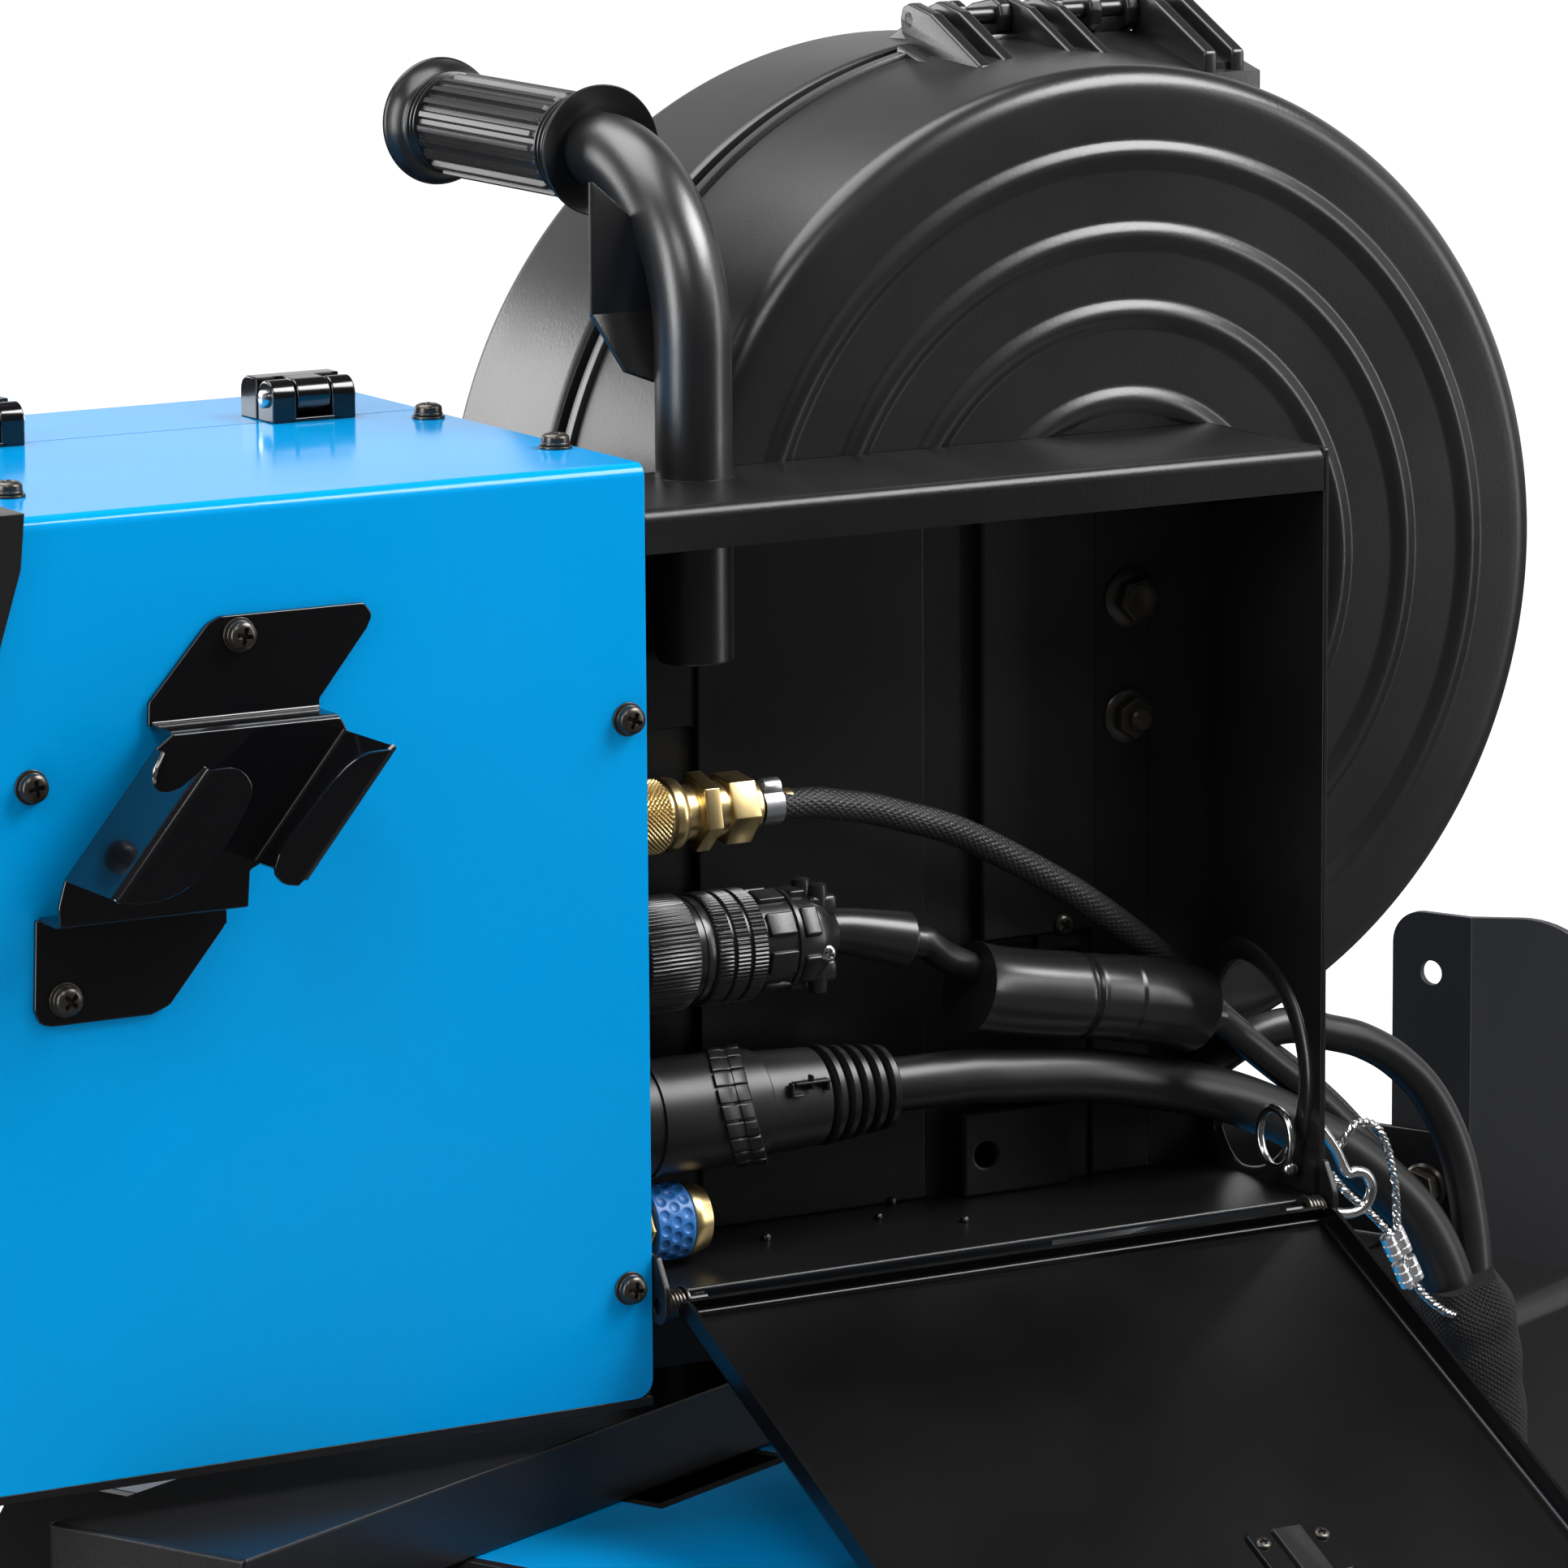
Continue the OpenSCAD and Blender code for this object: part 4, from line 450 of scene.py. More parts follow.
def round_section(path, radius, across, upward, sides):
    """A circle of points at each path point: path + r (cos t across + sin t upward)."""
    t = angles(sides)
    if np.ndim(radius) < 2:
        radius = np.asarray(radius, float).reshape(-1, 1)
    r = np.broadcast_to(radius, (len(path), sides))
    rim = np.cos(t)[None, :, None] * across[:, None, :] + np.sin(t)[None, :, None] * upward[:, None, :]
    return (path[:, None, :] + r[..., None] * rim).reshape(-1, 3)


def tube(path, radius, sides=24):
    """A round section carried along a path, turned as little as possible from point to point.

    radius is one number, one per path point, or one per point and side. Flat ends close with a fan.
    """
    path = np.asarray(path, float)
    heading = unit(np.gradient(path, axis=0))
    across = np.cross(heading[0], (0.13, 0.98, 0.11))
    across /= np.linalg.norm(across)
    carried = []
    for direction in heading:
        across = across - direction * across.dot(direction)
        across /= np.linalg.norm(across)
        carried.append(across)
    across = np.array(carried)
    points = round_section(path, radius, across, np.cross(heading, across), sides)
    points = np.concatenate([points, [path[0], path[-1]]])
    return outward(points, [grid_faces(len(path), sides), *end_fans(len(path), sides)])


def closed_loop(path, radius, sides=12):
    """A round section carried round a closed path that lies in one plane, given by its mean normal."""
    path = np.asarray(path, float)
    heading = unit(np.roll(path, -1, 0) - np.roll(path, 1, 0))
    normal = np.cross(path - path.mean(0), heading).sum(0)
    normal /= np.linalg.norm(normal)
    points = round_section(path, radius, np.cross(heading, normal), normal[None], sides)
    return outward(points, [grid_faces(len(path), sides, closed=True)])


def round_corners(outline, radii, steps=6):
    """Each corner of a flat outline becomes an arc that touches both its sides."""
    outline = np.asarray(outline, float)
    radii = np.broadcast_to(radii, len(outline))
    made = []
    for k, corner in enumerate(outline):
        before = outline[k - 1] - corner
        after = outline[(k + 1) % len(outline)] - corner
        room = 0.48 * min(np.linalg.norm(before), np.linalg.norm(after))
        before, after = before / np.linalg.norm(before), after / np.linalg.norm(after)
        half = 0.5 * math.acos(np.clip(before.dot(after), -1, 1))
        if radii[k] < 1e-6 or half > 1.56:
            made.append(corner[None])
            continue
        setback = min(radii[k] / math.tan(half), room)
        r = setback * math.tan(half)
        bisector = (before + after) / np.linalg.norm(before + after)
        centre = corner + bisector * r / math.sin(half)
        a, b = corner + before * setback - centre, corner + after * setback - centre
        sweep = math.atan2(a[0] * b[1] - a[1] * b[0], a.dot(b))
        angle = math.atan2(a[1], a[0]) + np.linspace(0, sweep, steps + 1)
        made.append(centre + r * np.stack([np.cos(angle), np.sin(angle)], -1))
    return np.concatenate(made)


def circle(centre, radius, sides=32):
    """Points of a circle in a plane."""
    t = angles(sides)
    return np.asarray(centre, float) + radius * np.stack([np.cos(t), np.sin(t)], -1)


def edge_normals(loop):
    """Mean of the two sides' normals at each point of a loop, so long that an offset stays parallel."""
    side = unit(np.roll(loop, -1, 0) - loop)
    n = np.stack([side[:, 1], -side[:, 0]], -1)
    mean = n + np.roll(n, 1, 0)
    return mean / np.maximum((mean * mean).sum(1) / 2, 0.35)[:, None]


def plate(outline, thickness, edge=0.4, holes=()):
    """Flat sheet on its outline (u, v), from w = 0 to thickness; its rim rolls over on a quarter circle."""
    def area(loop):
        return 0.5 * (loop[:, 0] * np.roll(loop[:, 1], -1) - loop[:, 1] * np.roll(loop[:, 0], -1)).sum()

    loops = [np.asarray(loop, float) for loop in (outline, *holes)]
    loops = [loop if (area(loop) > 0) == (k == 0) else loop[::-1] for k, loop in enumerate(loops)]
    q = np.linspace(0, np.pi / 2, 4)
    inset = np.concatenate([edge * (1 - np.sin(q)), edge * (1 - np.cos(q))])
    height = np.concatenate([edge * (1 - np.cos(q)), thickness - edge * (1 - np.sin(q))])
    points, faces, rims, count = [], [], [[], []], 0
    for loop in loops:
        n = edge_normals(loop)
        rows = loop[None] - inset[:, None, None] * n[None]
        block = np.concatenate([rows, np.broadcast_to(height[:, None, None], (*rows.shape[:2], 1))], -1)
        points.append(block.reshape(-1, 3))
        faces.append(grid_faces(len(inset), len(loop)) + count)
        rims[0].append(count + np.arange(len(loop)))
        rims[1].append(count + (len(inset) - 1) * len(loop) + np.arange(len(loop)))
        count += block.shape[0] * block.shape[1]
    points = np.concatenate(points)
    for k, rim in enumerate(rims):
        numbers = np.concatenate(rim)
        flat = [[Vector((*points[i, :2], 0)) for i in loop] for loop in rim]
        corners = numbers[np.array(tessellate_polygon(flat))]
        side = points[corners]
        turned_up = np.cross(side[:, 1] - side[:, 0], side[:, 2] - side[:, 0])[:, 2] > 0
        wrong = turned_up == (k == 0)
        corners[wrong] = corners[wrong][:, ::-1]
        faces.append(corners)
    return outward(points, faces)


def folded(profile, thickness, low, high, edge=0.3, bend=3.0, corner_low=(0, 0), corner_high=(0, 0)):
    """Bent sheet: a strip from w = low to high whose middle line follows profile (u, v), bends rounded.

    low and high may be functions of the profile's points; the strip's section is a rectangle with
    rolled edges, and both of its ends close flat.
    """
    profile = np.asarray(profile, float)
    inner = round_corners(profile, [0] + [bend] * (len(profile) - 2) + [0], 8)
    length = np.linalg.norm(np.diff(inner, axis=0), axis=1)
    cuts = [np.linspace(a, b, max(1, int(np.ceil(l / 14))), endpoint=False)
            for a, b, l in zip(inner[:-1], inner[1:], length)]
    line = np.concatenate([*cuts, inner[-1:]])
    along = travelled(line)
    largest = max(*corner_low, *corner_high)
    if largest:
        extra = largest * (1 - np.cos(np.linspace(0, np.pi / 2, 9)))
        wanted = np.unique(np.concatenate([along, extra, along[-1] - extra]).round(4))
        line = np.stack([np.interp(wanted, along, line[:, k]) for k in (0, 1)], -1)
        along = wanted
    heading = unit(np.gradient(line, axis=0))
    normal = np.stack([-heading[:, 1], heading[:, 0]], -1)
    w0 = low(line) if callable(low) else np.full(len(line), float(low))
    w1 = high(line) if callable(high) else np.full(len(line), float(high))
    for start, distance in ((0, along), (1, along[-1] - along)):
        for radius, sign in ((corner_low[start], -1), (corner_high[start], 1)):
            drop = radius - np.sqrt(np.maximum(radius**2 - np.maximum(radius - distance, 0) ** 2, 0))
            w0, w1 = (w0 + drop, w1) if sign < 0 else (w0, w1 - drop)
    h, s = thickness / 2, edge * 0.3
    offset = np.array([-h + edge, -h + s, -h, -h, -h + s, -h + edge, h - edge, h - s, h, h, h - s, h - edge])
    share = np.array([0, 0, 0, 1, 1, 1, 1, 1, 1, 0, 0, 0.0])
    step_in = np.array([0, s, edge, -edge, -s, 0, 0, -s, -edge, edge, s, 0])
    w = w0[:, None] * (1 - share) + w1[:, None] * share + step_in
    flat = line[:, None, :] + offset[None, :, None] * normal[:, None, :]
    points = np.concatenate([flat, w[..., None]], -1).reshape(-1, 3)
    rows, columns = w.shape
    ends = points.reshape(rows, columns, 3)[[0, -1]].mean(1)
    return outward(np.concatenate([points, ends]), [grid_faces(rows, columns), *end_fans(rows, columns)])


def block(low, high, edge=0.5):
    """A box between two corners with rolled edges: a plate lying in its X-Y plane."""
    low, high = np.asarray(low, float), np.asarray(high, float)
    outline = np.array([low[:2], [high[0], low[1]], high[:2], [low[0], high[1]]])
    outline = round_corners(outline, edge, 3)
    return moved(plate(outline, high[2] - low[2], edge), (0, 0, low[2]))


def facing(skin, axes):
    """Puts a plate's (u, v, w) onto the named axes, such as "xz-y" for u on X, v on Z and w against Y."""
    points, faces = skin
    made = np.zeros_like(points)
    names = axes.replace("-", "")
    signs = [-1 if "-" + name in axes else 1 for name in names]
    for column, (name, sign) in enumerate(zip(names, signs)):
        made[:, "xyz".index(name)] = sign * points[:, column]
    return outward(made, faces)


# ---------- pieces ----------


def add_mesh(name, mesh, finish, node=None, body=None):
    """Links a mesh that already lies in the row frame and hangs it on its body."""
    piece = bpy.data.objects.new(name, mesh)
    bpy.context.scene.collection.objects.link(piece)
    mesh.materials.clear()
    mesh.materials.append(FINISHES[finish])
    if node:
        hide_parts(node)
        body = BODY_OF[node]
    if body:
        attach(piece, body)
    return piece


def add_piece(name, skin, finish, node=None, body="feeder", place=on_feeder, crease=34, flat=False):
    """Makes a mesh from a skin. Faces that meet more sharply than crease stay sharp; flat evens large faces.

    A piece that replaces a node takes the node's body.
    """
    points, faces = skin
    mesh = bpy.data.meshes.new(name)
    mesh.from_pydata(place(points).tolist(), [], [corners for group in faces for corners in group.tolist()])
    mesh.shade_smooth()
    mesh.set_sharp_from_angle(angle=math.radians(crease))
    piece = add_mesh(name, mesh, finish, node, body)
    if flat:
        piece.modifiers.new("even_faces", "WEIGHTED_NORMAL").keep_sharp = True
    return piece


def softened(node, width, finish=None):
    """A merged copy of a solid whose sharp edges are rolled over by width millimetres."""
    crease = math.radians(30)
    made = bmesh.new()
    made.from_mesh(frame["nodes"][node].data)
    bmesh.ops.remove_doubles(made, verts=made.verts, dist=1e-6)
    bmesh.ops.dissolve_limit(made, angle_limit=math.radians(0.3), verts=made.verts, edges=made.edges)
    mesh = bpy.data.meshes.new(node + "_skin")
    made.to_mesh(mesh)
    made.free()
    mesh.shade_smooth()
    mesh.set_sharp_from_angle(angle=crease)
    piece = add_mesh(node + "_skin", mesh, finish or SLOT_OF[node], node)
    roll = piece.modifiers.new("rolled_edges", "BEVEL")
    roll.width, roll.segments = width * 0.001, 2
    roll.limit_method, roll.angle_limit = "ANGLE", crease
    roll.use_clamp_overlap = True
    roll.harden_normals = True


for node_name, node_object in frame["nodes"].items():
    node_object.data.materials.clear()
    node_object.data.materials.append(FINISHES[SLOT_OF[node_name]])


# ---------- feeder box ----------

# The box's sheet, width, height and lid seam, the starts of its two hinges, and the torch holder's front.
SHEET, BOX_WIDTH, BOX_TOP, SEAM_Y = 1.5, 210, 300, 147
HINGE_STARTS = (-58, -176)
HOLDER_Y = -17


def cover_front(line):
    """X of the covers' front edge at each height: straight between the corners of their side outline."""
    return np.interp(line[:, 1], [0, 263, 285, 300], [-305, -221.6, -214.6, -213])


def box_covers():
    """The blue near cover and the blue door: one bent sheet each, with a handle on the door."""
    half, top = SHEET / 2, BOX_TOP - SHEET / 2
    near = folded([(half, 0), (half, top), (SEAM_Y, top)], SHEET, cover_front, 0.0, bend=3.6,
                  corner_high=(6, 0))
    add_piece("near_cover", facing(near, "yzx"), "cover_blue", "feeder_shell", flat=True)
    side = BOX_WIDTH - half
    far = folded([(side, 0), (side, top), (SEAM_Y + 0.8, top)], SHEET, cover_front, 0.0, bend=3.6,
                 corner_high=(6, 0))
    grip = folded([(-150.5, 1), (-150.5, 9), (-89.5, 9), (-89.5, 1)], 3, 30, 46, bend=4, edge=0.8)
    grip = moved(facing(grip, "xyz"), (0, BOX_WIDTH, 0))
    add_piece("box_door", joined(facing(far, "yzx"), grip), "cover_blue", "feeder_door", flat=True)


def phillips_head(radius, height, turn=0.0):
    """Domed screw head: its height falls with the 2nd and 6th power of the radius; a cross is sunk in it."""
    ring = np.concatenate([np.linspace(0.04, 0.92, 24), [0.96, 0.985, 1, 1]]) * radius
    t = angles(72)
    r = ring[:, None] + 0 * t
    x, y = r * np.cos(t + turn), r * np.sin(t + turn)
    arm = np.minimum(np.maximum(abs(x) - 0.16 * radius, abs(y) - 0.6 * radius),
                     np.maximum(abs(y) - 0.16 * radius, abs(x) - 0.6 * radius))
    share = r / radius
    z = height * (1 - 0.2 * share**2 - 0.28 * share**6 - 0.6 * np.clip(-arm / (0.06 * radius), 0, 1))
    z[-3] -= 0.12 * height
    z[-2] -= 0.3 * height
    z[-1] = 0
    points = np.stack([r * np.cos(t), r * np.sin(t), z], -1).reshape(-1, 3)
    rows, n = r.shape
    j = np.arange(n)
    points = np.concatenate([points, [[0, 0, z[0].mean()], [0, 0, 0]]])
    top, low = rows * n, (rows - 1) * n
    fans = [np.stack([np.full(n, top), j, (j + 1) % n], -1),
            np.stack([np.full(n, top + 1), low + (j + 1) % n, low + j], -1)]
    return outward(points, [grid_faces(rows, n), *fans])


def washer(r_in, r_out, low, high, edge=0.2):
    """Flat ring about Z with rolled edges."""
    return moved(plate(circle((0, 0), r_out, 48), high - low, edge, [circle((0, 0), r_in, 48)]), (0, 0, low))


def cover_screw(turn):
    """A flat washer, a spring washer and a Phillips pan head, stacked along Z from 0."""
    return joined(washer(2.2, 5.4, 0, 0.9), washer(2.2, 4.7, 1.0, 2.1, 0.4),
                  moved(phillips_head(4.5, 3.0, turn), (0, 0, 2.1)))


def box_screws():
    """Three screws in the near side and four in the top."""
    side = [(-7, 219.7), (-8.3, 36.6), (-212.6, 218.4)]
    top = [(-9, 127.3), (-7.3, 44.6), (-197.7, 43.5), (-198, 127)]
    made = [moved(cover_screw(0.4 + 1.3 * k), (x, 0, z), OUT_NEAR) for k, (x, z) in enumerate(side)]
    made += [moved(cover_screw(0.9 + 0.8 * k), (x, y, BOX_TOP)) for k, (x, y) in enumerate(top)]
    add_piece("cover_screws", joined(*made), "screw_black", "feeder_screws")


def lid_hinges():
    """Two small cast hinges on the seam: a fixed block with two knuckles, a leaf between, a bright pin."""
    t = np.linspace(0, np.pi / 2, 9)
    over = np.stack([-5.6 * np.cos(t), 8 + 5.6 * np.sin(t)], -1)
    knuckle = np.concatenate([[(-5.6, 0)], over, over[-2::-1] * [-1, 1], [(5.6, 0)]])
    leaf_back = np.stack([13 + 5 * np.sin(t), 8.8 + 5 * np.cos(t)], -1)
    barrel = np.concatenate([[(-5.2, 5.6), (-3.6, 3.4), (-1.6, 2.4), (7.5, 2.4), (7.5, 13.8), (0, 13.6)],
                             over[::-1]])
    plain = np.concatenate([[(6.5, 0), (6.5, 13.8)], leaf_back, [(18, 0)]])
    blocks, leaves, pins = [], [], []

    def along_x(outline, x0, x1, edge):
        return moved(facing(plate(outline, x1 - x0, edge), "yzx"), (x0, SEAM_Y, BOX_TOP))

    for x in HINGE_STARTS:
        blocks += [along_x(knuckle, x, x + 8.6, 0.7), along_x(knuckle, x + 21.6, x + 30, 0.7),
                   moved(block((x + 6, -5.6, 0), (x + 24, 3.5, 1.4), 0.4), (0, SEAM_Y, BOX_TOP))]
        leaves += [along_x(barrel, x + 9.1, x + 21.1, 0.5), along_x(plain, x, x + 30, 0.6)]
        for end, sign in ((x - 0.8, -1), (x + 30.8, 1)):
            head = [(-0.9, 3.0), (0, 3.0), (0.5, 2.8), (0.9, 1.8), (1.0, 0.4)]
            head = lathe([(sign * along, r) for along, r in head], 32)
            pins.append(moved(head, (end, SEAM_Y, BOX_TOP + 7.6)))
    add_piece("hinge_blocks_skin", joined(*blocks), "black_gloss", "hinge_blocks", flat=True)
    add_piece("hinge_leaves_skin", joined(*leaves), "black_gloss", "hinge_leaves", flat=True)
    add_piece("hinge_pin_heads", joined(*pins), "steel")


def torch_rest():
    """The folded torch holder: two feet on the cover, and a channel with inward lips in front of it."""
    def sheet_xz(outline, radii, near_y, edge=0.5):
        skin = plate(round_corners(outline, radii), 2.0, edge)
        return facing(moved(skin, (0, 0, -near_y - 2.0)), "xz-y")

    upper = sheet_xz([(-173.8, 233.5), (-173.5, 240.7), (-153.5, 263), (-149.2, 265.1), (-99.8, 265.1),
                      (-97, 261.3), (-98.9, 257.2), (-115.7, 236.7), (-115.7, 233.5)],
                     [0.5, 4, 5, 6, 2.5, 2.5, 2, 2, 0.5], -2)
    lower = sheet_xz([(-212.7, 177.5), (-213.8, 149.4), (-212, 145.4), (-207.9, 144.4), (-174.8, 144.4),
                      (-168.5, 146.7), (-149.2, 169.5), (-148.7, 177.5)],
                     [0.5, 3, 3, 3, 5, 5, 4, 0.5], -2)
    main = sheet_xz([(-178.6, 229.3), (-172.9, 233.3), (-116, 233.3), (-113.5, 228.2), (-144.7, 190.3),
                     (-147.8, 189), (-148.6, 177.6), (-211.6, 177.6), (-212, 184.1), (-209.7, 191.9)],
                    [1, 1, 2, 1, 1, 1.5, 0.6, 0.6, 5, 2], HOLDER_Y, 0.7)
    step_up = folded([(-1, 241), (-1, 233), (-16, 233), (-16, 226)], 1.94, -172.9, -116, bend=2.4)
    step_low = folded([(-1, 170), (-1, 178), (-16, 178), (-16, 185)], 1.94, -211.5, -148.7, bend=2.4)

    def wall_and_lip(start, along, inward, lip, low, high, notch):
        depth = [-1, *range(2, 29), 33]
        profile = [(1, v) for v in depth] + [(u, 33) for u in np.append(np.arange(6, lip, 1.0), lip)]

        def upper_end(line):
            cut = 12 * np.sqrt(np.maximum(1 - ((line[:, 1] - 17.6) / 13.9) ** 2, 0)) * notch
            return np.where(line[:, 1] < 32.9, high[0][1] - cut, np.interp(line[:, 0], *zip(*high)))

        def lower_end(line):
            return np.where(line[:, 1] < 32.9, low[0][1], np.interp(line[:, 0], *zip(*low)))

        points, faces = folded(profile, 2, lower_end, upper_end, bend=2.4, edge=0.6)
        u, v, w = points.T
        spread = np.array(start) + np.outer(w, along) + np.outer(u, inward)
        return outward(np.stack([spread[:, 0], HOLDER_Y - v, spread[:, 1]], -1), faces)

    left = wall_and_lip((-209.7, 191.9), (0.64, 0.769), (0.769, -0.64), 20.1,
                        [(0, 0), (2, 0.4), (7.6, 3.4), (12.4, 7.6), (16.1, 12.5), (18.2, 17), (19.3, 21.4),
                         (20.1, 30)],
                        [(0, 48.7), (2.4, 49), (4.6, 51), (7.2, 53.2), (10, 54.3), (13, 54.1), (15.6, 53.2),
                         (17.4, 51.4), (18.6, 48.6), (19.3, 45), (20.1, 38)], 1)
    right = wall_and_lip((-144.7, 190.3), (0.636, 0.772), (-0.772, 0.636), 14.2,
                         [(0, 0), (2, -2.2), (4.3, -4), (6.5, -5), (8.5, -5.2), (11, -4.5), (13, -2.6),
                          (14.2, 0.6)],
                         [(0, 49), (4, 46.2), (7.9, 42.6), (10.6, 38.6), (12.5, 33.3), (13.3, 26), (14.2, 8)],
                         0)
    bend_line = [np.linspace(-146.1, -115.1, 8), np.full(8, HOLDER_Y - 0.1), np.linspace(191.6, 229.2, 8)]
    corner = tube(np.stack(bend_line, -1), 0.9, 12)
    studs = [moved(cover_screw(turn), (x, -2, z), OUT_NEAR)
             for x, z, turn in ((-143, 259, 0.2), (-203.8, 152.4, 0.75))]
    add_piece("torch_rest", joined(upper, lower, main, facing(step_up, "yzx"), facing(step_low, "yzx"),
                                   left, right, corner), "black_gloss", "torch_holder", flat=True)
    add_piece("torch_rest_screws", joined(*studs), "screw_black")


# ---------- rear housing ----------


def cable_opening(grow):
    """Outline (Y, Z) of the cable opening: half a circle on the near side, half an ellipse by the wall."""
    t = angles(96)
    reach = np.where(np.cos(t) > 0, 21.0 + grow, 36.5 + grow)
    return np.stack([48.3 + reach * np.cos(t), 70 + (36.5 + grow) * np.sin(t)], -1)


def hexagon(size, turn=0.0):
    """A hexagon with its corners, slightly rounded, at that size from the middle."""
    t = np.arange(6) * np.pi / 3 + turn
    return round_corners(size * np.stack([np.cos(t), np.sin(t)], -1), 0.4, 3)


# Places and sizes (X, Y, radius) of the weld beads on the floor, and the handle tube's foot and bend.
WELD_BEADS = [(68.2, 45.8, 1.9), (129.5, 68.5, 1.9), (114.6, 51.8, 1.5), (136.3, 32.8, 1.6)]
HANDLE_X, HANDLE_Y, HANDLE_BEND, GRIP_Z = 50, 57, 57, 384.5


def housing_sheets():
    """The connector housing: top with front flange, end wall, back wall with raised panels, and floor."""
    top = facing(folded([(71, 284), (1, 284), (1, 271)], 2, 0, 255, bend=3.0, edge=0.5), "yzx")
    end = plate(round_corners([(0, 33), (71.8, 33), (71.8, 285), (0, 285)], 1.2, 3), 2, 0.5,
                [cable_opening(0)])
    end = moved(facing(end, "yzx"), (255, 0, 0))
    ear = round_corners([(-8, 24), (4, 24), (4, 46), (-2, 46), (-8, 36)], [5, 3, 1, 2, 5], 5)
    ear = facing(plate(ear, 2, 0.4, [circle((-2, 30), 2.6, 24)]), "yzx")
    ears = [moved(ear, (x, 0, 0)) for x in (0.3, 255)]

    def wall_panel(x, z, front, back=71.0, edge=0.8, holes=()):
        outline = round_corners([(x[0], z[0]), (x[1], z[0]), (x[1], z[1]), (x[0], z[1])], 1.0, 3)
        skin = plate(outline, back - front, edge, holes)
        return facing(moved(skin, (0, 0, -back)), "xz-y")

    window = round_corners([(4, 58), (57, 58), (57, 201), (4, 201)], 2, 3)
    back = wall_panel((0, 257), (31, 285), 69.8, 71.8, 0.3, [window])
    panels = [
        wall_panel((57, 143), (33, 283), 68.3, edge=0.9),
        wall_panel((163, 208), (118, 283), 64.8, edge=1.3),
        wall_panel((186, 203), (112, 122), 67.0, edge=0.7),
        wall_panel((208, 231), (33, 283), 68.3, edge=0.9),
        wall_panel((153, 195), (33, 62), 60.8, edge=1.4, holes=[circle((162, 47), 4, 32)]),
        wall_panel((0, 58), (56, 203), 71.9, 73.3, 0.3),
    ]
    floor = block((0, 2, 31), (257, 71, 33), 0.9)
    t = np.linspace(0.05, 3.09, 9)
    half_circle = np.stack([-np.cos(t), np.sin(t)], -1)
    beads = [moved(lathe(size * half_circle, 20, ripple=lambda x, a: 0.16 * np.sin(3 * a + 2 * x)),
                   (x, y, 33.6), ALONG_Z) for x, y, size in WELD_BEADS]
    collar = moved(lathe([(0, 13.4), (0.3, 13.2), (0.6, 12.8), (0.7, 11)], 64),
                   (HANDLE_X, HANDLE_Y, 284.6), ALONG_Z)
    # Painted shade: the housing takes the darker copy of the black powder coat, not the frame's own.
    add_piece("connector_housing", joined(top, end, *ears, back, *panels, floor, *beads, collar),
              "housing_black", "rear_housing", flat=True)


def wall_fasteners():
    """On the back wall: a flanged hex bolt, a flanged nut on a stud, and the cover's small screw."""
    flange = lathe([(0, 10), (1.2, 10), (1.9, 9.2), (2.6, 7.2), (2.7, 2)], 64)
    bolt = joined(moved(flange, turn=ALONG_Z), moved(plate(hexagon(7.6, 0.2), 5.4, 0.9), (0, 0, 2)),
                  moved(lathe([(0, 5.6), (0.5, 5.3), (0.6, 3.5), (0.25, 2.5)], 48), (0, 0, 7.3), ALONG_Z))
    nut = joined(moved(flange, turn=ALONG_Z * 0.92), moved(plate(hexagon(7.2, 0.5), 5.0, 0.9), (0, 0, 2)),
                 moved(lathe([(0, 4), (3.2, 4), (4.2, 3.2), (4.4, 1)], 48), (0, 0, 6.6), ALONG_Z))
    small = moved(cover_screw(0.6), turn=np.eye(3) * 0.8)
    places = ((bolt, (223, 68.3, 229)), (nut, (222, 68.3, 189)), (small, (194.5, 66.8, 121)))
    add_piece("wall_fasteners", joined(*[moved(skin, place, OUT_NEAR) for skin, place in places]),
              "screw_black")


def opening_edging():
    """Rubber edging round the cable opening: an oval section along its outline, kept off the back wall."""
    outline = cable_opening(3.0)
    path = np.stack([np.zeros(len(outline)), np.minimum(outline[:, 0], 66.6), outline[:, 1]], -1)
    points, faces = closed_loop(path, 4.3, 20)
    add_piece("opening_edging", (points * [0.62, 1, 1] + [256, 0, 0], faces), "grip_rubber", "hole_trim")


# ---------- flap door ----------

# How far the flap hangs open at rest, in degrees, and its hinge line in the feeder's Y and Z.
FLAP_TURN, FLAP_HINGE = 117, (0, -2, 30)


def on_flap(points):
    """Flap axes, as if closed (X, inwards, distance from the hinge), to the row frame at its open rest."""
    p = np.asarray(points, float) @ turn_about("X", FLAP_TURN).T
    return on_feeder(p + FLAP_HINGE)


def coil(x0, x1, radius, wire, turns):
    """A spring about X: a round wire on the line (x, r cos t, r sin t)."""
    t = np.linspace(0, 2 * np.pi * turns, int(turns * 28))
    return tube(np.stack([np.linspace(x0, x1, len(t)), radius * np.cos(t), radius * np.sin(t)], -1), wire, 8)


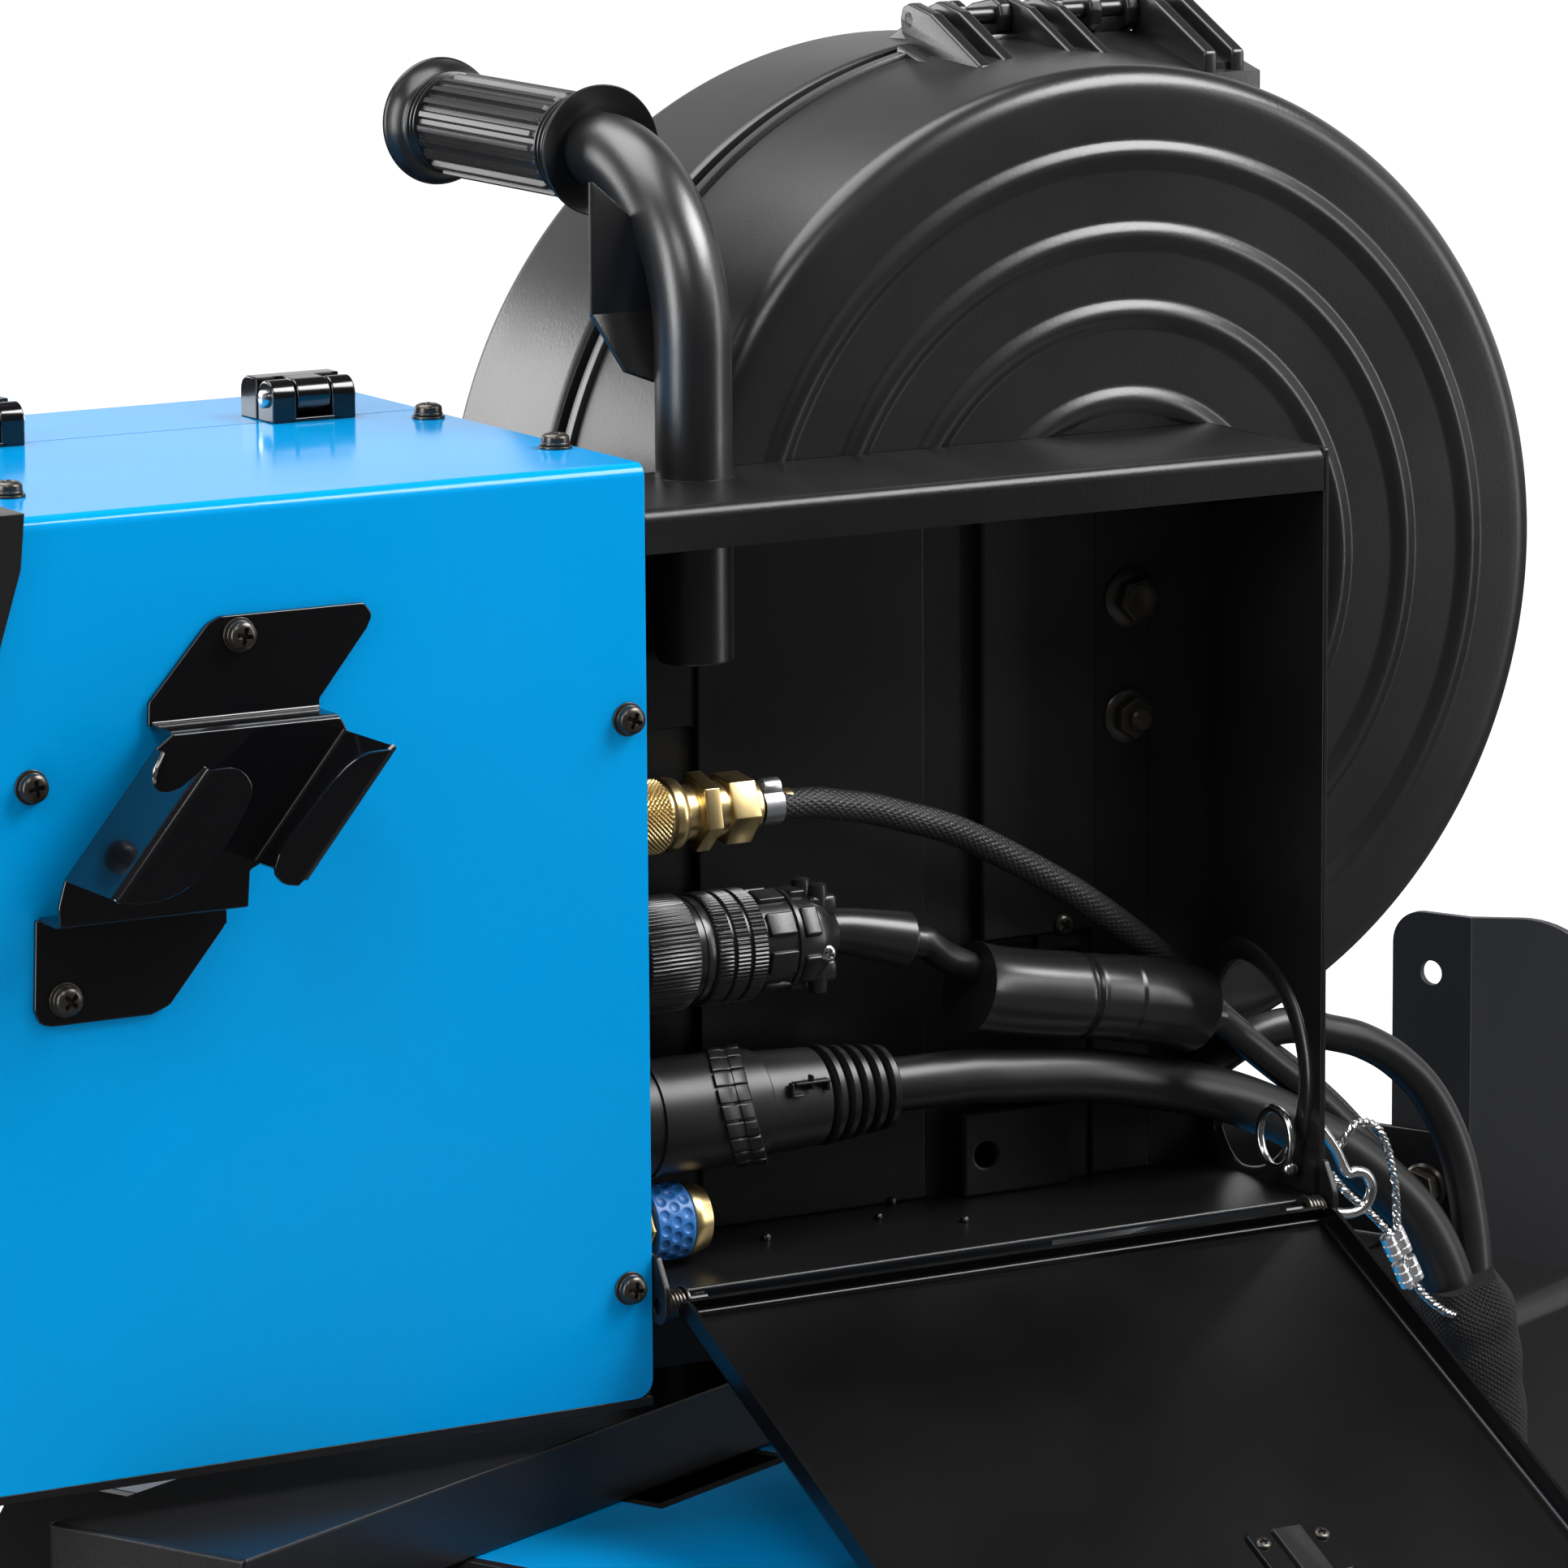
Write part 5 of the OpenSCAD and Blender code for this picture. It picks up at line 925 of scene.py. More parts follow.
def flap():
    """The flap door: a sheet with folded sides and hinge edge, pins with springs, and its latch's frame."""
    def outer_end(line):
        return np.where(line[:, 1] > 0.9, 238.0, 254.0)

    pan = folded([(5.75, 8), (5.75, 0), (251.25, 0), (251.25, 8)], 1.5, 5, outer_end, bend=2.2, edge=0.5,
                 corner_low=(6, 6))
    hinge_edge = folded([(0, 9), (0, 5), (5, 5)], 1.5, 6.5, 250.5, bend=2.0, edge=0.4)
    pins = [lathe([(a, 2.5), (b, 2.5)], 24) for a, b in ((1, 18), (239, 256))]
    rim = round_corners([(138, 144), (167, 144), (167, 168), (138, 168)], 3, 4)
    slot = round_corners([(147.2, 146.2), (157.8, 146.2), (157.8, 165.8), (147.2, 165.8)], 1, 3)
    frame_plate = moved(facing(plate(rim, 1.6, 0.5, [slot]), "xzy"), (0, 0.75, 0))
    add_piece("flap_sheet", joined(facing(pan, "xyz"), facing(hinge_edge, "yzx"), *pins, frame_plate),
              "flap_black", "flap_door", place=on_flap, flat=True)
    springs = [coil(3.2, 9, 4.0, 0.65, 4.5), coil(248, 253.8, 4.0, 0.65, 4.5)]
    rims = [moved(washer(2.6, 5.2, 0, 1.0), (x, 0, 0), ALONG_Z.T) for x in (9.5, 247)]
    into_sheet = np.array([[1, 0, 0], [0, 0, 1], [0, -1, 0]], float)
    heads = [moved(phillips_head(2.6, 1.5), (x, 2.2, 151), into_sheet) for x in (141.5, 163.5)]
    add_piece("flap_springs", joined(*springs, *rims, *heads), "screw_black", body="flap", place=on_flap)


# ---------- handle ----------


def handle():
    """Bent carrying tube, up, round a quarter circle and level, with its stay sheet."""
    q = np.linspace(0, np.pi / 2, 25)
    arc = np.stack([np.full(25, HANDLE_X), HANDLE_Y + HANDLE_BEND - HANDLE_BEND * np.cos(q),
                    GRIP_Z - HANDLE_BEND + HANDLE_BEND * np.sin(q)], -1)
    foot = [[HANDLE_X, HANDLE_Y, z] for z in (225, 226, 276)]
    path = np.concatenate([foot, arc, [[HANDLE_X, y, GRIP_Z] for y in (170, 226)]])
    radius = np.full(len(path), 12.5)
    radius[0] = 11.9

    def left_border(line):
        return np.interp(line[:, 1], [315, 319, 337, 379.5], [41, 30.6, 22.5, 22.7])

    def right_border(line):
        return np.interp(line[:, 1], [315, 350, 362, 369, 379.5], [57, 57, 44, 36, 24])

    drop = [(75, z) for z in (*np.linspace(379.5, 341, 14), 337)]
    slope = [(66 + 9 * (z - 315) / 22, z) for z in (331, 327, 323, 319, 317, 315)]
    stay = facing(folded([*drop, *slope], 2, left_border, right_border, edge=0.6, bend=1.5), "yzx")
    add_piece("handle_tube", joined(tube(path, radius, 48), stay), "tube_black", "handle_tube", flat=True)


def grip_ribs(x, t):
    """22 ribs round the grip: a rounded square wave in the angle, faded out smoothly at both ends."""
    wave = np.clip(0.35 + 2.4 * np.cos(22 * t), 0, 1)
    fade = np.clip((x - 15.5) / 2.5, 0, 1) * np.clip((97.5 - x) / 2.5, 0, 1)
    return 1.7 * wave * np.sqrt(fade)


def grip():
    """Rubber grip turned about the handle's level run: trumpet flanges, three fine rings, ribs between."""
    flange = [(4.5, 13.0), (3.0, 15.5), (1.3, 18.8), (0.2, 20.6), (0.0, 21.1), (0.4, 21.5), (1.0, 21.4),
              (1.7, 20.7), (2.6, 19.7), (4.2, 18.5), (6.0, 17.5), (7.8, 16.8)]
    ring = [(-0.85, 15.4), (-0.6, 16.6), (-0.2, 17.3), (0.4, 17.3), (0.8, 16.6), (1.05, 15.4)]
    rings = [(middle + x, r) for middle in (9.4, 11.8, 14.2) for x, r in ring]
    spread = np.concatenate([np.linspace(15.6, 19, 9), np.linspace(23, 90, 12), np.linspace(94, 97.8, 9)])
    ribs = [(x, 15.9) for x in spread]
    left = [*flange, *rings]
    right = [(113 - x, r) for x, r in reversed(left)]
    right[-1] = (113 - 2.0, 12.6)
    profile = [(4.4, 12.55), *left, *ribs, *right[:-1], (112.2, 17.5), (112.6, 11)]
    skin = moved(lathe(profile, 264, ripple=grip_ribs), (HANDLE_X, 116, GRIP_Z), ALONG_Y)
    add_piece("hand_grip", skin, "grip_rubber", "handle_grip", crease=50)


# ---------- wire drum ----------

# The drum's middle in the feeder's X and Z, and one end of its lid's hinge pin.
DRUM_X, DRUM_Z = 222, 235.8
LID_PIN = np.array([190, 154.8, 416.8])


def ring_beads(r):
    """Height of the pressed rings at radius r: a half wave 10 mm wide on each of the four ring radii."""
    offset = np.abs(r[:, None] - np.array([141.0, 114, 88, 59])[None, :])
    return (2.1 * np.cos(np.clip(offset / 5.0, 0, 1) * np.pi / 2) ** 1.3).max(1)


def drum_shell(width):
    """One drum half about X as a closed skin, from its face inwards and back along the inside.

    The face has pressed rings, the shoulder is round, the rim slightly conical, with a band at the seam.
    """
    r = np.concatenate([np.linspace(0.5, 54, 8), np.linspace(54.5, 147, 150), np.linspace(149, 161, 5)])
    face = np.stack([-ring_beads(r), r], -1)
    q = np.linspace(0, np.pi / 2, 10)
    shoulder = np.stack([9 * (1 - np.cos(q)), 161 + 9 * np.sin(q)], -1)
    seam = [(-9.2, 173.3), (-8.8, 173.3), (-8.6, 172.5), (-8.3, 172.5), (-8.0, 174.5), (-7.6, 175),
            (-3.4, 175), (-2.9, 174.7), (-2.7, 174.0), (-2.7, 170.3), (-0.5, 170.2), (-0.4, 170.0),
            (-0.4, 168.6), (-0.8, 168.4)]
    rim = [(9.4, 170.02), *[(width + x, r) for x, r in seam]]
    inside = [(12, 166), (4.5, 160), (3, 158), (3, 60), (3, 0.5)]
    return lathe(np.concatenate([face, shoulder[1:], rim, inside]), 256)


def on_lid_pin(outline, x, length, edge):
    """A sheet on its outline (Y, Z) about the lid's pin line, that starts at x along the pin."""
    return moved(facing(plate(outline, length, edge), "yzx"), LID_PIN + [x, 0, 0])


def lid_ears(spans, side):
    """Tapered side sheets round the pin line, one for each span of x."""
    outline = [(0, 5.7), (-4.5, 4), (-5.7, 0), (-5, -5), (6, -13), (46, -21), (46, -12), (14, 3)]
    outline = round_corners([(side * y, z) for y, z in outline], [3, 2, 2, 2, 2, 1, 2, 4], 4)
    return [on_lid_pin(outline, a, b - a, 0.9) for a, b in spans]


def drum():
    """Both drum halves with their hinge ears; the near one has sloping webs between them and the pin."""
    near = moved(drum_shell(82.7), (DRUM_X, 72.1, DRUM_Z), ALONG_Y)
    far = outward(*moved(drum_shell(83.0), (DRUM_X, 237.8, DRUM_Z), [[0, 1, 0], [-1, 0, 0], [0, 0, 1]]))
    near_ears = lid_ears([(0, 5), (11, 16), (38, 42), (50, 54), (89, 94), (100, 105)], -1)
    webs = [on_lid_pin([(-44, -21), (-5, -12), (-5, -5), (-44, -16)], x, 12, 0.6) for x in (2, 40, 91)]
    base = on_lid_pin([(-47, -27), (-1.8, -17), (-1.8, -8), (-47, -19)], -6, 117, 1.0)
    pin = moved(lathe([(0, 2.6), (0.4, 3), (104.6, 3), (105, 2.6)], 32), LID_PIN)
    add_piece("drum_near_half", joined(near, *near_ears, *webs, base, pin), "drum_black", "drum_near",
              crease=40)
    far_ears = lid_ears([(16.3, 20.5), (33, 37.7), (54.3, 59), (69, 74), (84, 88.7)], 1)
    far_base = on_lid_pin([(47, -27), (1.8, -17), (1.8, -9), (47, -19)], 14, 76, 1.0)
    add_piece("drum_far_half", joined(far, *far_ears, far_base), "drum_black", "drum_far", crease=40)


# ---------- connectors ----------

# The connector row: its Y, and the height of each connector.
ROW_Y, GAS_Z, CONTROL_Z, POWER_Z, WATER_Z = 36, 180, 135, 81.6, 47
NEAR_WATER_Y = 35.4


def in_row(z, *skins, y=ROW_Y):
    """Skins turned about X as one, at their place in the connector row."""
    return moved(joined(*skins), (0, y, z))


def ring_of(skin, count, first=0):
    """Copies of a skin in equal steps about X, the first one turned by that many degrees."""
    return [moved(skin, turn=turn_about("X", first + 360 / count * k)) for k in range(count)]


def hex_rod(x0, x1, size, turn=0.0):
    """A hexagonal nut about X with chamfered ends."""
    return moved(plate(hexagon(size, turn), x1 - x0, 0.6), (x0, 0, 0), [[0, 0, 1], [1, 0, 0], [0, 1, 0]])


def diamond_knurl(depth, count, low, high):
    """A ripple of crossed grooves between x = low and high: the product of two slanted waves."""
    def ripple(x, t):
        pitch = count / 11.5
        waves = [np.abs(np.sin((count * t + way * pitch * x) / 2)) for way in (1, -1)]
        return (x > low) * (x < high) * depth * (waves[0] * waves[1] - 0.4)
    return ripple


def straight_knurl(depth, count, spans):
    """Fine ridges along the axis, inside the given spans of x."""
    def ripple(x, t):
        mask = sum(((x > a) & (x < b)).astype(float) for a, b in spans)
        return mask * depth * np.cos(count * t)
    return ripple


def gas_coupling():
    """Brass quick coupling: knurled sleeve, smooth bulge, two hexagons, hose nipple and its ear clamp."""
    body = [(0, 11.6), *[(x, 11.8) for x in np.linspace(1, 22.8, 120)], (23.4, 11.1), (24.2, 11.1),
            (25, 11.9), (27, 12.1), (29, 11.7), (30.2, 10.4), (30.8, 9.2), (34.6, 9.0), (35.4, 10.2),
            (36, 10.2)]
    parts = [lathe(body, 440, diamond_knurl(0.85, 44, 0.9, 22.9)), hex_rod(35.6, 41.4, 13.0, 0.3),
             lathe([(41.2, 9.4), (46.2, 9.4)], 64), hex_rod(45.9, 55.8, 12.0, 0.12),
             lathe([(55.4, 8.4), (56, 8.7), (58.4, 8.2), (59.4, 6.8), (59.6, 4.4), (72, 4.4)], 64)]
    add_piece("gas_coupling", in_row(GAS_Z, *parts), "brass", "gas_coupler", crease=38)
    band = lathe([(60.6, 5.9), (60.6, 6.4), (67.6, 6.4), (67.6, 5.9)], 64, ring=True)
    t = np.linspace(-0.2, np.pi + 0.2, 16)
    ear = np.stack([3.0 * np.cos(t), 6.2 + 3.0 * np.sin(t)], -1)[::-1]
    ear = facing(folded(ear, 0.7, 61, 67.2, bend=0.2, edge=0.15), "yzx")
    add_piece("ear_clamp", in_row(GAS_Z - 0.8, band, moved(ear, turn=turn_about("X", 10))), "zinc")


def control_connector():
    """Round multi-pole plug: finely ridged coupling ring and three rings, clamp shell, soft flared boot."""
    ridged = [(10.9, 29.1), (36.2, 41.4), (42.7, 47.5), (48.9, 54.1)]
    profile = [(0, 18.0), (8, 18.0), (8.6, 16.9), (10.2, 16.9), (10.6, 18.2), (11.2, 18.7), (28.8, 18.7),
               (29.5, 18.2), (30, 16.9), (32.4, 16.9), (32.6, 17.3), (35.2, 17.3), (35.6, 17.0),
               (36, 17.9), (36.5, 18.2), (41.1, 18.2), (41.6, 17.3), (42.4, 17.3), (42.9, 18.2),
               (47.3, 18.2), (47.8, 17.3), (48.6, 17.3), (49.1, 18.2), (53.9, 18.2), (54.5, 17.4),
               (54.9, 15.9), (66.6, 15.9), (67, 16.8), (68.4, 16.8), (68.8, 15.2), (76, 15.0), (79, 14.0),
               (83, 11), (86.5, 8)]
    shell = lathe(profile, 720, straight_knurl(0.24, 84, ridged))
    line = smooth_line([(80, 0, 1.2), (91.3, 0, 0.3), (106, 0, -3.0), (116, 0, -5.6), (121.6, 0, -7.0)], 84)
    size = np.interp(np.arange(84), [0, 20, 70, 71, 71.5, 83], [7.0, 7.4, 9.3, 9.0, 5.25, 5.25])
    boot = tube(line, size, 56)
    stud = lathe([(0, 3.2), (7.4, 3.2), (9.6, 2.9), (10.2, 2.0)], 32)
    studs = [moved(stud, (79.5, y, 8), ALONG_Z) for y in (-5.4, 5.4)]
    saddles = ring_of(joined(block((75, -8.5, 7), (85.5, 8.5, 14.4), 1.8), *studs), 2)
    pads = ring_of(block((56.2, -3.9, 14.6), (66, 3.9, 17.1), 0.6), 8, 15)
    pads += ring_of(block((69.4, -5, 13.6), (75.4, 5, 16.4), 0.8), 6)
    add_piece("control_connector", in_row(CONTROL_Z, shell, boot, *saddles, *pads), "panel_black",
              "control_plug", crease=40)
    head = moved(phillips_head(2.9, 1.9, 0.5), (78.4, -13.2, -3.6), OUT_NEAR)
    add_piece("connector_screw", in_row(CONTROL_Z, head), "steel")


def power_connector():
    """Welding plug: rubber body, a slanted band of 21 small plates, a moulded mark, and a ribbed boot."""
    body = lathe([(0, 18.6), (3, 18.9), (15, 18.9), (15.4, 19.7), (17.2, 19.7), (17.6, 18.9), (40, 18.8),
                  (56, 18.4), (57, 17.2), (79, 16.2), (80, 14.6)], 120)

    def plates(x, t):
        gap = np.abs((t * 21 / (2 * np.pi)) % 1 - 0.5)
        return -0.9 * np.clip((0.09 - gap) / 0.04, 0, 1)

    points, faces = lathe([(-5.9, 17.2), (-5.9, 19.4), (-5.5, 19.9), (-1.2, 19.9), (-0.9, 19.6), (0.9, 19.6),
                           (1.2, 19.9), (5.5, 19.9), (5.9, 19.4), (5.9, 17.2)], 504, plates)
    points[:, 0] += 52.2 + 0.5 * points[:, 1] - 0.27 * points[:, 2]
    rib = [(-2.6, -3.2), (-2.1, -1.1), (-1.1, 0), (0.8, 0), (1.7, -1.1), (1.9, -3.2)]
    ribs = [(83.4 + 5.45 * k + x, 16.4 - 0.6 * k + r) for k in range(5) for x, r in rib]
    boot = lathe([(79, 12), *ribs, (107.4, 10.6), (108, 9.0), (115.6, 9.0)], 96)
    mark = [block(low, high, 0.4) for low, high in (
        ((64, -17.8, 8.4), (77, -14.2, 9.4)), ((70, -17.6, 6.6), (71, -14.6, 11.2)),
        ((62.4, -17.9, 4.6), (63.4, -15.2, 9.4)), ((63, -18.0, 4.6), (67, -15.4, 5.5)),
        ((76.2, -17.2, 5.4), (77.2, -13.8, 9.4)))]
    add_piece("power_connector", in_row(POWER_Z, body, (points, faces), boot, *mark), "cable_rubber",
              "power_plug", crease=40)


def water_couplings():
    """Two brass water couplings, the near one with a blue sleeve that has rows of round dimples."""
    base = [(0, 10.8), (0.6, 11.5), (12.6, 11.5), (13.2, 10.9), (14, 10.9), (14, 9)]
    tail = [(29.6, 10.6), (30, 12.0), (31, 12.2), (33.6, 11.6), (36.8, 10.6), (37.2, 8.6), (36.6, 6.4)]
    far = [(0, 10.6), (0.5, 11), (9.6, 11), (10.2, 9.2), (20.6, 9), (21, 8.4)]
    near = in_row(WATER_Z, lathe(base, 72), lathe(tail, 72), hex_rod(13.4, 15.4, 12.0), y=NEAR_WATER_Y)
    add_piece("water_couplings", joined(near, in_row(WATER_Z, lathe(far, 72), y=59)), "brass",
              "water_couplers", crease=38)

    def dimples(x, t):
        row = np.round((x - 22.3) / 4.1)
        u = (x - 22.3 - 4.1 * row) / 1.75
        v = ((t * 16 / (2 * np.pi) + 0.5 * (row % 2)) % 1 - 0.5) * 2 * np.pi / 16 * 12.4 / 1.75
        inside = np.clip(1 - u**2 - v**2, 0, 1)
        return -0.7 * np.sqrt(inside) * (np.abs(row) <= 1)

    sleeve = lathe([(15.2, 11.0), (15.4, 12.2), *[(x, 12.6) for x in np.linspace(15.8, 28.8, 60)],
                    (29.4, 12.2), (29.6, 11.0)], 360, dimples)
    add_piece("blue_sleeve", in_row(WATER_Z, sleeve, y=NEAR_WATER_Y), "cap_blue", crease=60)


# ---------- cables and hoses ----------

POWER_ROUTE = [[115, 36, 81.6], [126, 36, 81.5], [140, 36.5, 81], [153, 37, 79.5], [172, 38.5, 77.5],
               [191, 40, 74.5], [211, 42, 70], [231, 44, 65], [250, 46, 59], [268, 47, 51], [284, 47, 42],
               [297, 46, 34], [310, 44, 23], [321, 41, 11], [328, 38, -2], [333, 36, -16]]
CONTROL_ROUTE = [[121.3, 36, 128.2], [123.4, 36, 127.9], [126.5, 36.4, 125.6], [130.5, 37.2, 122.6],
                 [136, 38, 119.8], [144, 38.8, 116], [152, 39.3, 111.5], [161, 39.6, 107.5],
                 [175, 40, 103.8], [190, 41, 101.5], [206, 42, 98.8], [222, 43, 95.2], [241, 46, 88.5],
                 [254, 50, 80], [268, 51, 69], [283, 51, 57], [299, 50, 42], [315, 47, 24], [328, 44, 4],
                 [336, 40, -16]]
RUBBER_ROUTE = [[142, 38.6, 110.5], [150, 38.8, 108.6], [160, 39.2, 106.6], [175, 39.8, 104],
                [190, 40.5, 101.7], [205, 41.5, 99], [222, 43, 95.2], [244, 46.3, 87.6]]
GAS_ROUTE = [[64, 36, 179.4], [72, 36, 179], [82, 36, 178.5], [92, 37, 176.5], [104, 38, 174],
             [117, 39, 170], [131, 40, 165.5], [144, 42, 160], [164, 44, 149.5], [184, 46, 138],
             [198, 48, 129], [212, 50, 119], [224, 52, 110], [240, 55, 96.5], [252, 58, 85], [266, 60, 74],
             [281, 60, 63], [300, 58, 46], [318, 54, 24], [331, 49, 2], [338, 44, -17]]
ARCH_ROUTE = [[240, 60, 58], [248, 60, 66], [258, 60, 72], [270, 60, 76.5], [284, 60, 77.5],
              [298, 60, 73.5], [312, 60, 69], [326, 59, 60.5], [338, 56, 47], [345, 50, 27], [346, 43, 4],
              [345, 38, -16]]
TETHER_ROUTE = [[276, 20, 44], [283, 20, 51], [291, 20, 49], [296, 20, 40], [299, 20, 27], [300, 20, 14],
                [302, 20, 2], [309, 21, -9], [319, 22, -18], [331, 24, -24]]
SHORT_TETHER_ROUTE = [[273, 20, 34.6], [279.5, 20, 27.5], [287.5, 20, 20.6], [295, 20, 13.2],
                      [300, 20, 6], [304, 20, -2], [306, 20, -9]]
HOOK_ROUTE = [[268, 20, 52], [274, 20, 44], [279, 20, 35], [283, 20, 34.5], [287, 20, 33], [289.3, 20, 28],
              [287, 20, 22.5], [281, 20, 20.4], [274, 20, 21.8], [268, 20, 26]]
BUNDLE_ROUTE = [[199, -170, 858], [203, -172, 838], [205, -173, 810], [205, -174, 770], [205, -175, 720],
                [205, -175, 660], [206, -175, 600], [208, -175, 545], [214, -175, 500], [227, -175, 462],
                [248, -174, 433], [277, -172, 414], [312, -170, 405], [347, -168, 404], [380, -157, 411],
                [407, -142, 427], [424, -127, 450], [430, -118, 478], [424, -112, 507], [407, -108, 530],
                [384, -106, 544], [364, -105, 549], [346, -105, 550]]


def lay_pattern(piece, rows, sides, length):
    """Gives a tube its pattern map: U runs round from 0 to 1, V along it in metres."""
    mesh = piece.data
    count = (rows - 1) * sides
    corner = np.empty(len(mesh.loops), int)
    mesh.loops.foreach_get("vertex_index", corner)
    quads = corner[: 4 * count].reshape(count, 4)
    column, row = quads % sides, quads // sides
    crossing = (column.max(1) == sides - 1) & (column.min(1) == 0)
    column = np.where(crossing[:, None] & (column == 0), sides, column)
    values = np.zeros((len(corner), 2))
    values[: 4 * count, 0] = (column / sides).ravel()
    values[: 4 * count, 1] = (row / (rows - 1) * length).ravel()
    mesh.uv_layers.new(name="along_cord").data.foreach_set("uv", values.ravel())


def cable(name, route, radius, finish, rows, sides, node=None):
    """A cable, hose or sleeve: a round section on a smooth line through its route."""
    path = smooth_line(route, rows)
    if callable(radius):
        radius = radius(np.linspace(0, 1, rows))
    piece = add_piece(name, tube(path, radius, sides), finish, node)
    lay_pattern(piece, rows, sides, travelled(path)[-1] * 0.001)


def mouth_and_waist(u):
    """Radius along the rubber sleeve: a flared mouth, a waist groove, a step, and a plain run that narrows
    to just over the cable for the last 11 mm."""
    s = u * 106
    return (14.6 + 1.0 * np.exp(-s / 5) - 1.5 * np.exp(-((s - 44) / 1.4) ** 2) - 0.35 * (s > 46) * (s < 62)
            - 9.2 * np.clip((s - 94) / 1.6, 0, 1) ** 2)


def bay_cables():
    """Every cable and hose that runs from the connectors out through the opening."""
    cable("power_cable", POWER_ROUTE, 9.0, "cable_rubber", 150, 40, "inner_cables")
    cable("control_cable", CONTROL_ROUTE, 5.2, "cable_rubber", 150, 28)
    cable("gas_hose", GAS_ROUTE, 5.1, "braided_hose", 190, 28)
    cable("arching_hose", ARCH_ROUTE, 6.2, "cable_rubber", 110, 30)
    cable("rubber_sleeve", RUBBER_ROUTE, mouth_and_waist, "panel_black", 180, 48)


# Points along and round the woven sleeve, and its length in millimetres.
BUNDLE_ROWS, BUNDLE_SIDES, BUNDLE_LENGTH = 330, 36, 800


def wrinkled(u):
    """Radius round and along the woven sleeve: 18.6 mm, gathered at the mouth, with soft wandering folds."""
    t = angles(BUNDLE_SIDES)[None, :]
    s = u[:, None] * BUNDLE_LENGTH
    gathered = (5.5 * np.exp(-s / 6) - 1.1 * np.sin(5 * t + 1) * np.exp(-s / 22)
                + 0.9 * np.sin(s / 2.6) * np.exp(-s / 30))
    return (18.6 - gathered + 0.45 * np.sin(s / 9 + 2 * np.sin(t + s / 60)) + 0.35 * np.sin(3 * t + s / 23)
            + 0.25 * np.sin(s / 4.1 + 3 * np.cos(t)))


def outer_bundle():
    """The woven sleeve round all cables, from the feeder's opening down and back up to the power source."""
    path, u = smooth_line(BUNDLE_ROUTE, BUNDLE_ROWS), np.linspace(0, 1, BUNDLE_ROWS)
    piece = add_piece("woven_bundle", tube(path, wrinkled(u), BUNDLE_SIDES), "sleeve_woven", body=None,
                      place=on_cart)
    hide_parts("bundle_sleeve")
    lay_pattern(piece, BUNDLE_ROWS, BUNDLE_SIDES, BUNDLE_LENGTH * 0.001)
    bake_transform(piece)


def twisted_rope(route, rows, radius):
    """Three round strands wound about a smooth line that lies in one plane of constant Y."""
    line = smooth_line(route, rows)
    heading = unit(np.gradient(line, axis=0))
    across = np.stack([-heading[:, 2], 0 * heading[:, 0], heading[:, 0]], -1)
    along = travelled(line)
    strands = []
    for k in range(3):
        turn = ((along / 7.0 + k / 3) * 2 * np.pi)[:, None]
        centre = line + 0.54 * radius * (across * np.cos(turn) + np.array([0, 1, 0]) * np.sin(turn))
        strands.append(tube(centre, 0.52 * radius, 8))
    return joined(*strands)


def tether_set():
    """Strain relief: a wire rope with two crimped sleeves, its snap hook, and a split ring with a ball."""
    rope = joined(twisted_rope(TETHER_ROUTE, 190, 1.45), twisted_rope(SHORT_TETHER_ROUTE, 120, 1.45))
    barrel = lathe([(0, 1.6), (0.3, 2.5), (2.6, 2.6), (3.0, 2.3), (3.4, 2.6), (6.2, 2.6), (6.6, 2.3),
                    (7.0, 2.6), (9.2, 2.5), (9.6, 1.6)], 32)
    crimps = [moved(barrel, np.array([x, 20, z]) + side * 2.1 * np.array([0.9, 0, 0.43]), turn_about("Y", 64))
              for x, z in ((297.4, 11.6), (302.2, 1.6)) for side in (-1, 1)]
    hook = tube(smooth_line(HOOK_ROUTE, 90), 1.9, 16)
    t = angles(64)
    ball = lathe([(-3.0, 0.3), (-2.6, 1.6), (-1.4, 2.7), (0, 3.0), (1.4, 2.7), (2.6, 1.6), (3.0, 0.3)], 32)
    ring_path = np.stack([249.6 + 0 * t, 18.7 + 9.6 * np.cos(t), 50.5 + 10 * np.sin(t)], -1)
    add_piece("tether_rope", joined(rope, hook), "steel", "tether")
    add_piece("tether_crimps", joined(*crimps), "sleeve_alloy")
    add_piece("split_ring", closed_loop(ring_path, 1.5, 14), "steel")
    add_piece("ring_ball", moved(ball, (251.0, 12.4, 41.0)), "steel")


# ---------- support and cart ----------

# In the cart's own axes: the bracket's rear face and its bolts, the push handle's place, half width, foot,
# bend and top, and the rear tyres' middles.
BRACKET_X, BOLT_Y, BOLT_Z = 347, 74, 850
PUSH_X, PUSH_Y, PUSH_Z, PUSH_BEND, PUSH_TOP = -375, 150, 158, 70, 730
TYRE_X, TYRE_Y, TYRE_Z = 525, 250, 125


def rests_and_bracket():
    """Beam, cross bracket and the two bent bottle rests, with the bolts that hold the rests to it."""
    softened("support_beam", 1.6)
    softened("cradle_bracket", 0.8)
    softened("bottle_rests", 0.8, "rest_grey")
    flange = moved(lathe([(0, 9), (1, 9), (1.8, 8), (2.0, 5)], 48), (-6, 0, 0), turn_about("Z", 180))
    bolt = joined(flange, moved(hex_rod(-7.2, -1.5, 7.6, 0.3), (-6, 0, 0)),
                  lathe([(0, 4), (12, 4), (13, 3)], 32), hex_rod(0, 5.5, 7.6, 0.1))
    bolts = [moved(bolt, (BRACKET_X, side * BOLT_Y, BOLT_Z)) for side in (-1, 1)]
    add_piece("bracket_bolts", joined(*bolts), "screw_black", "cradle_bolts", place=on_cart)


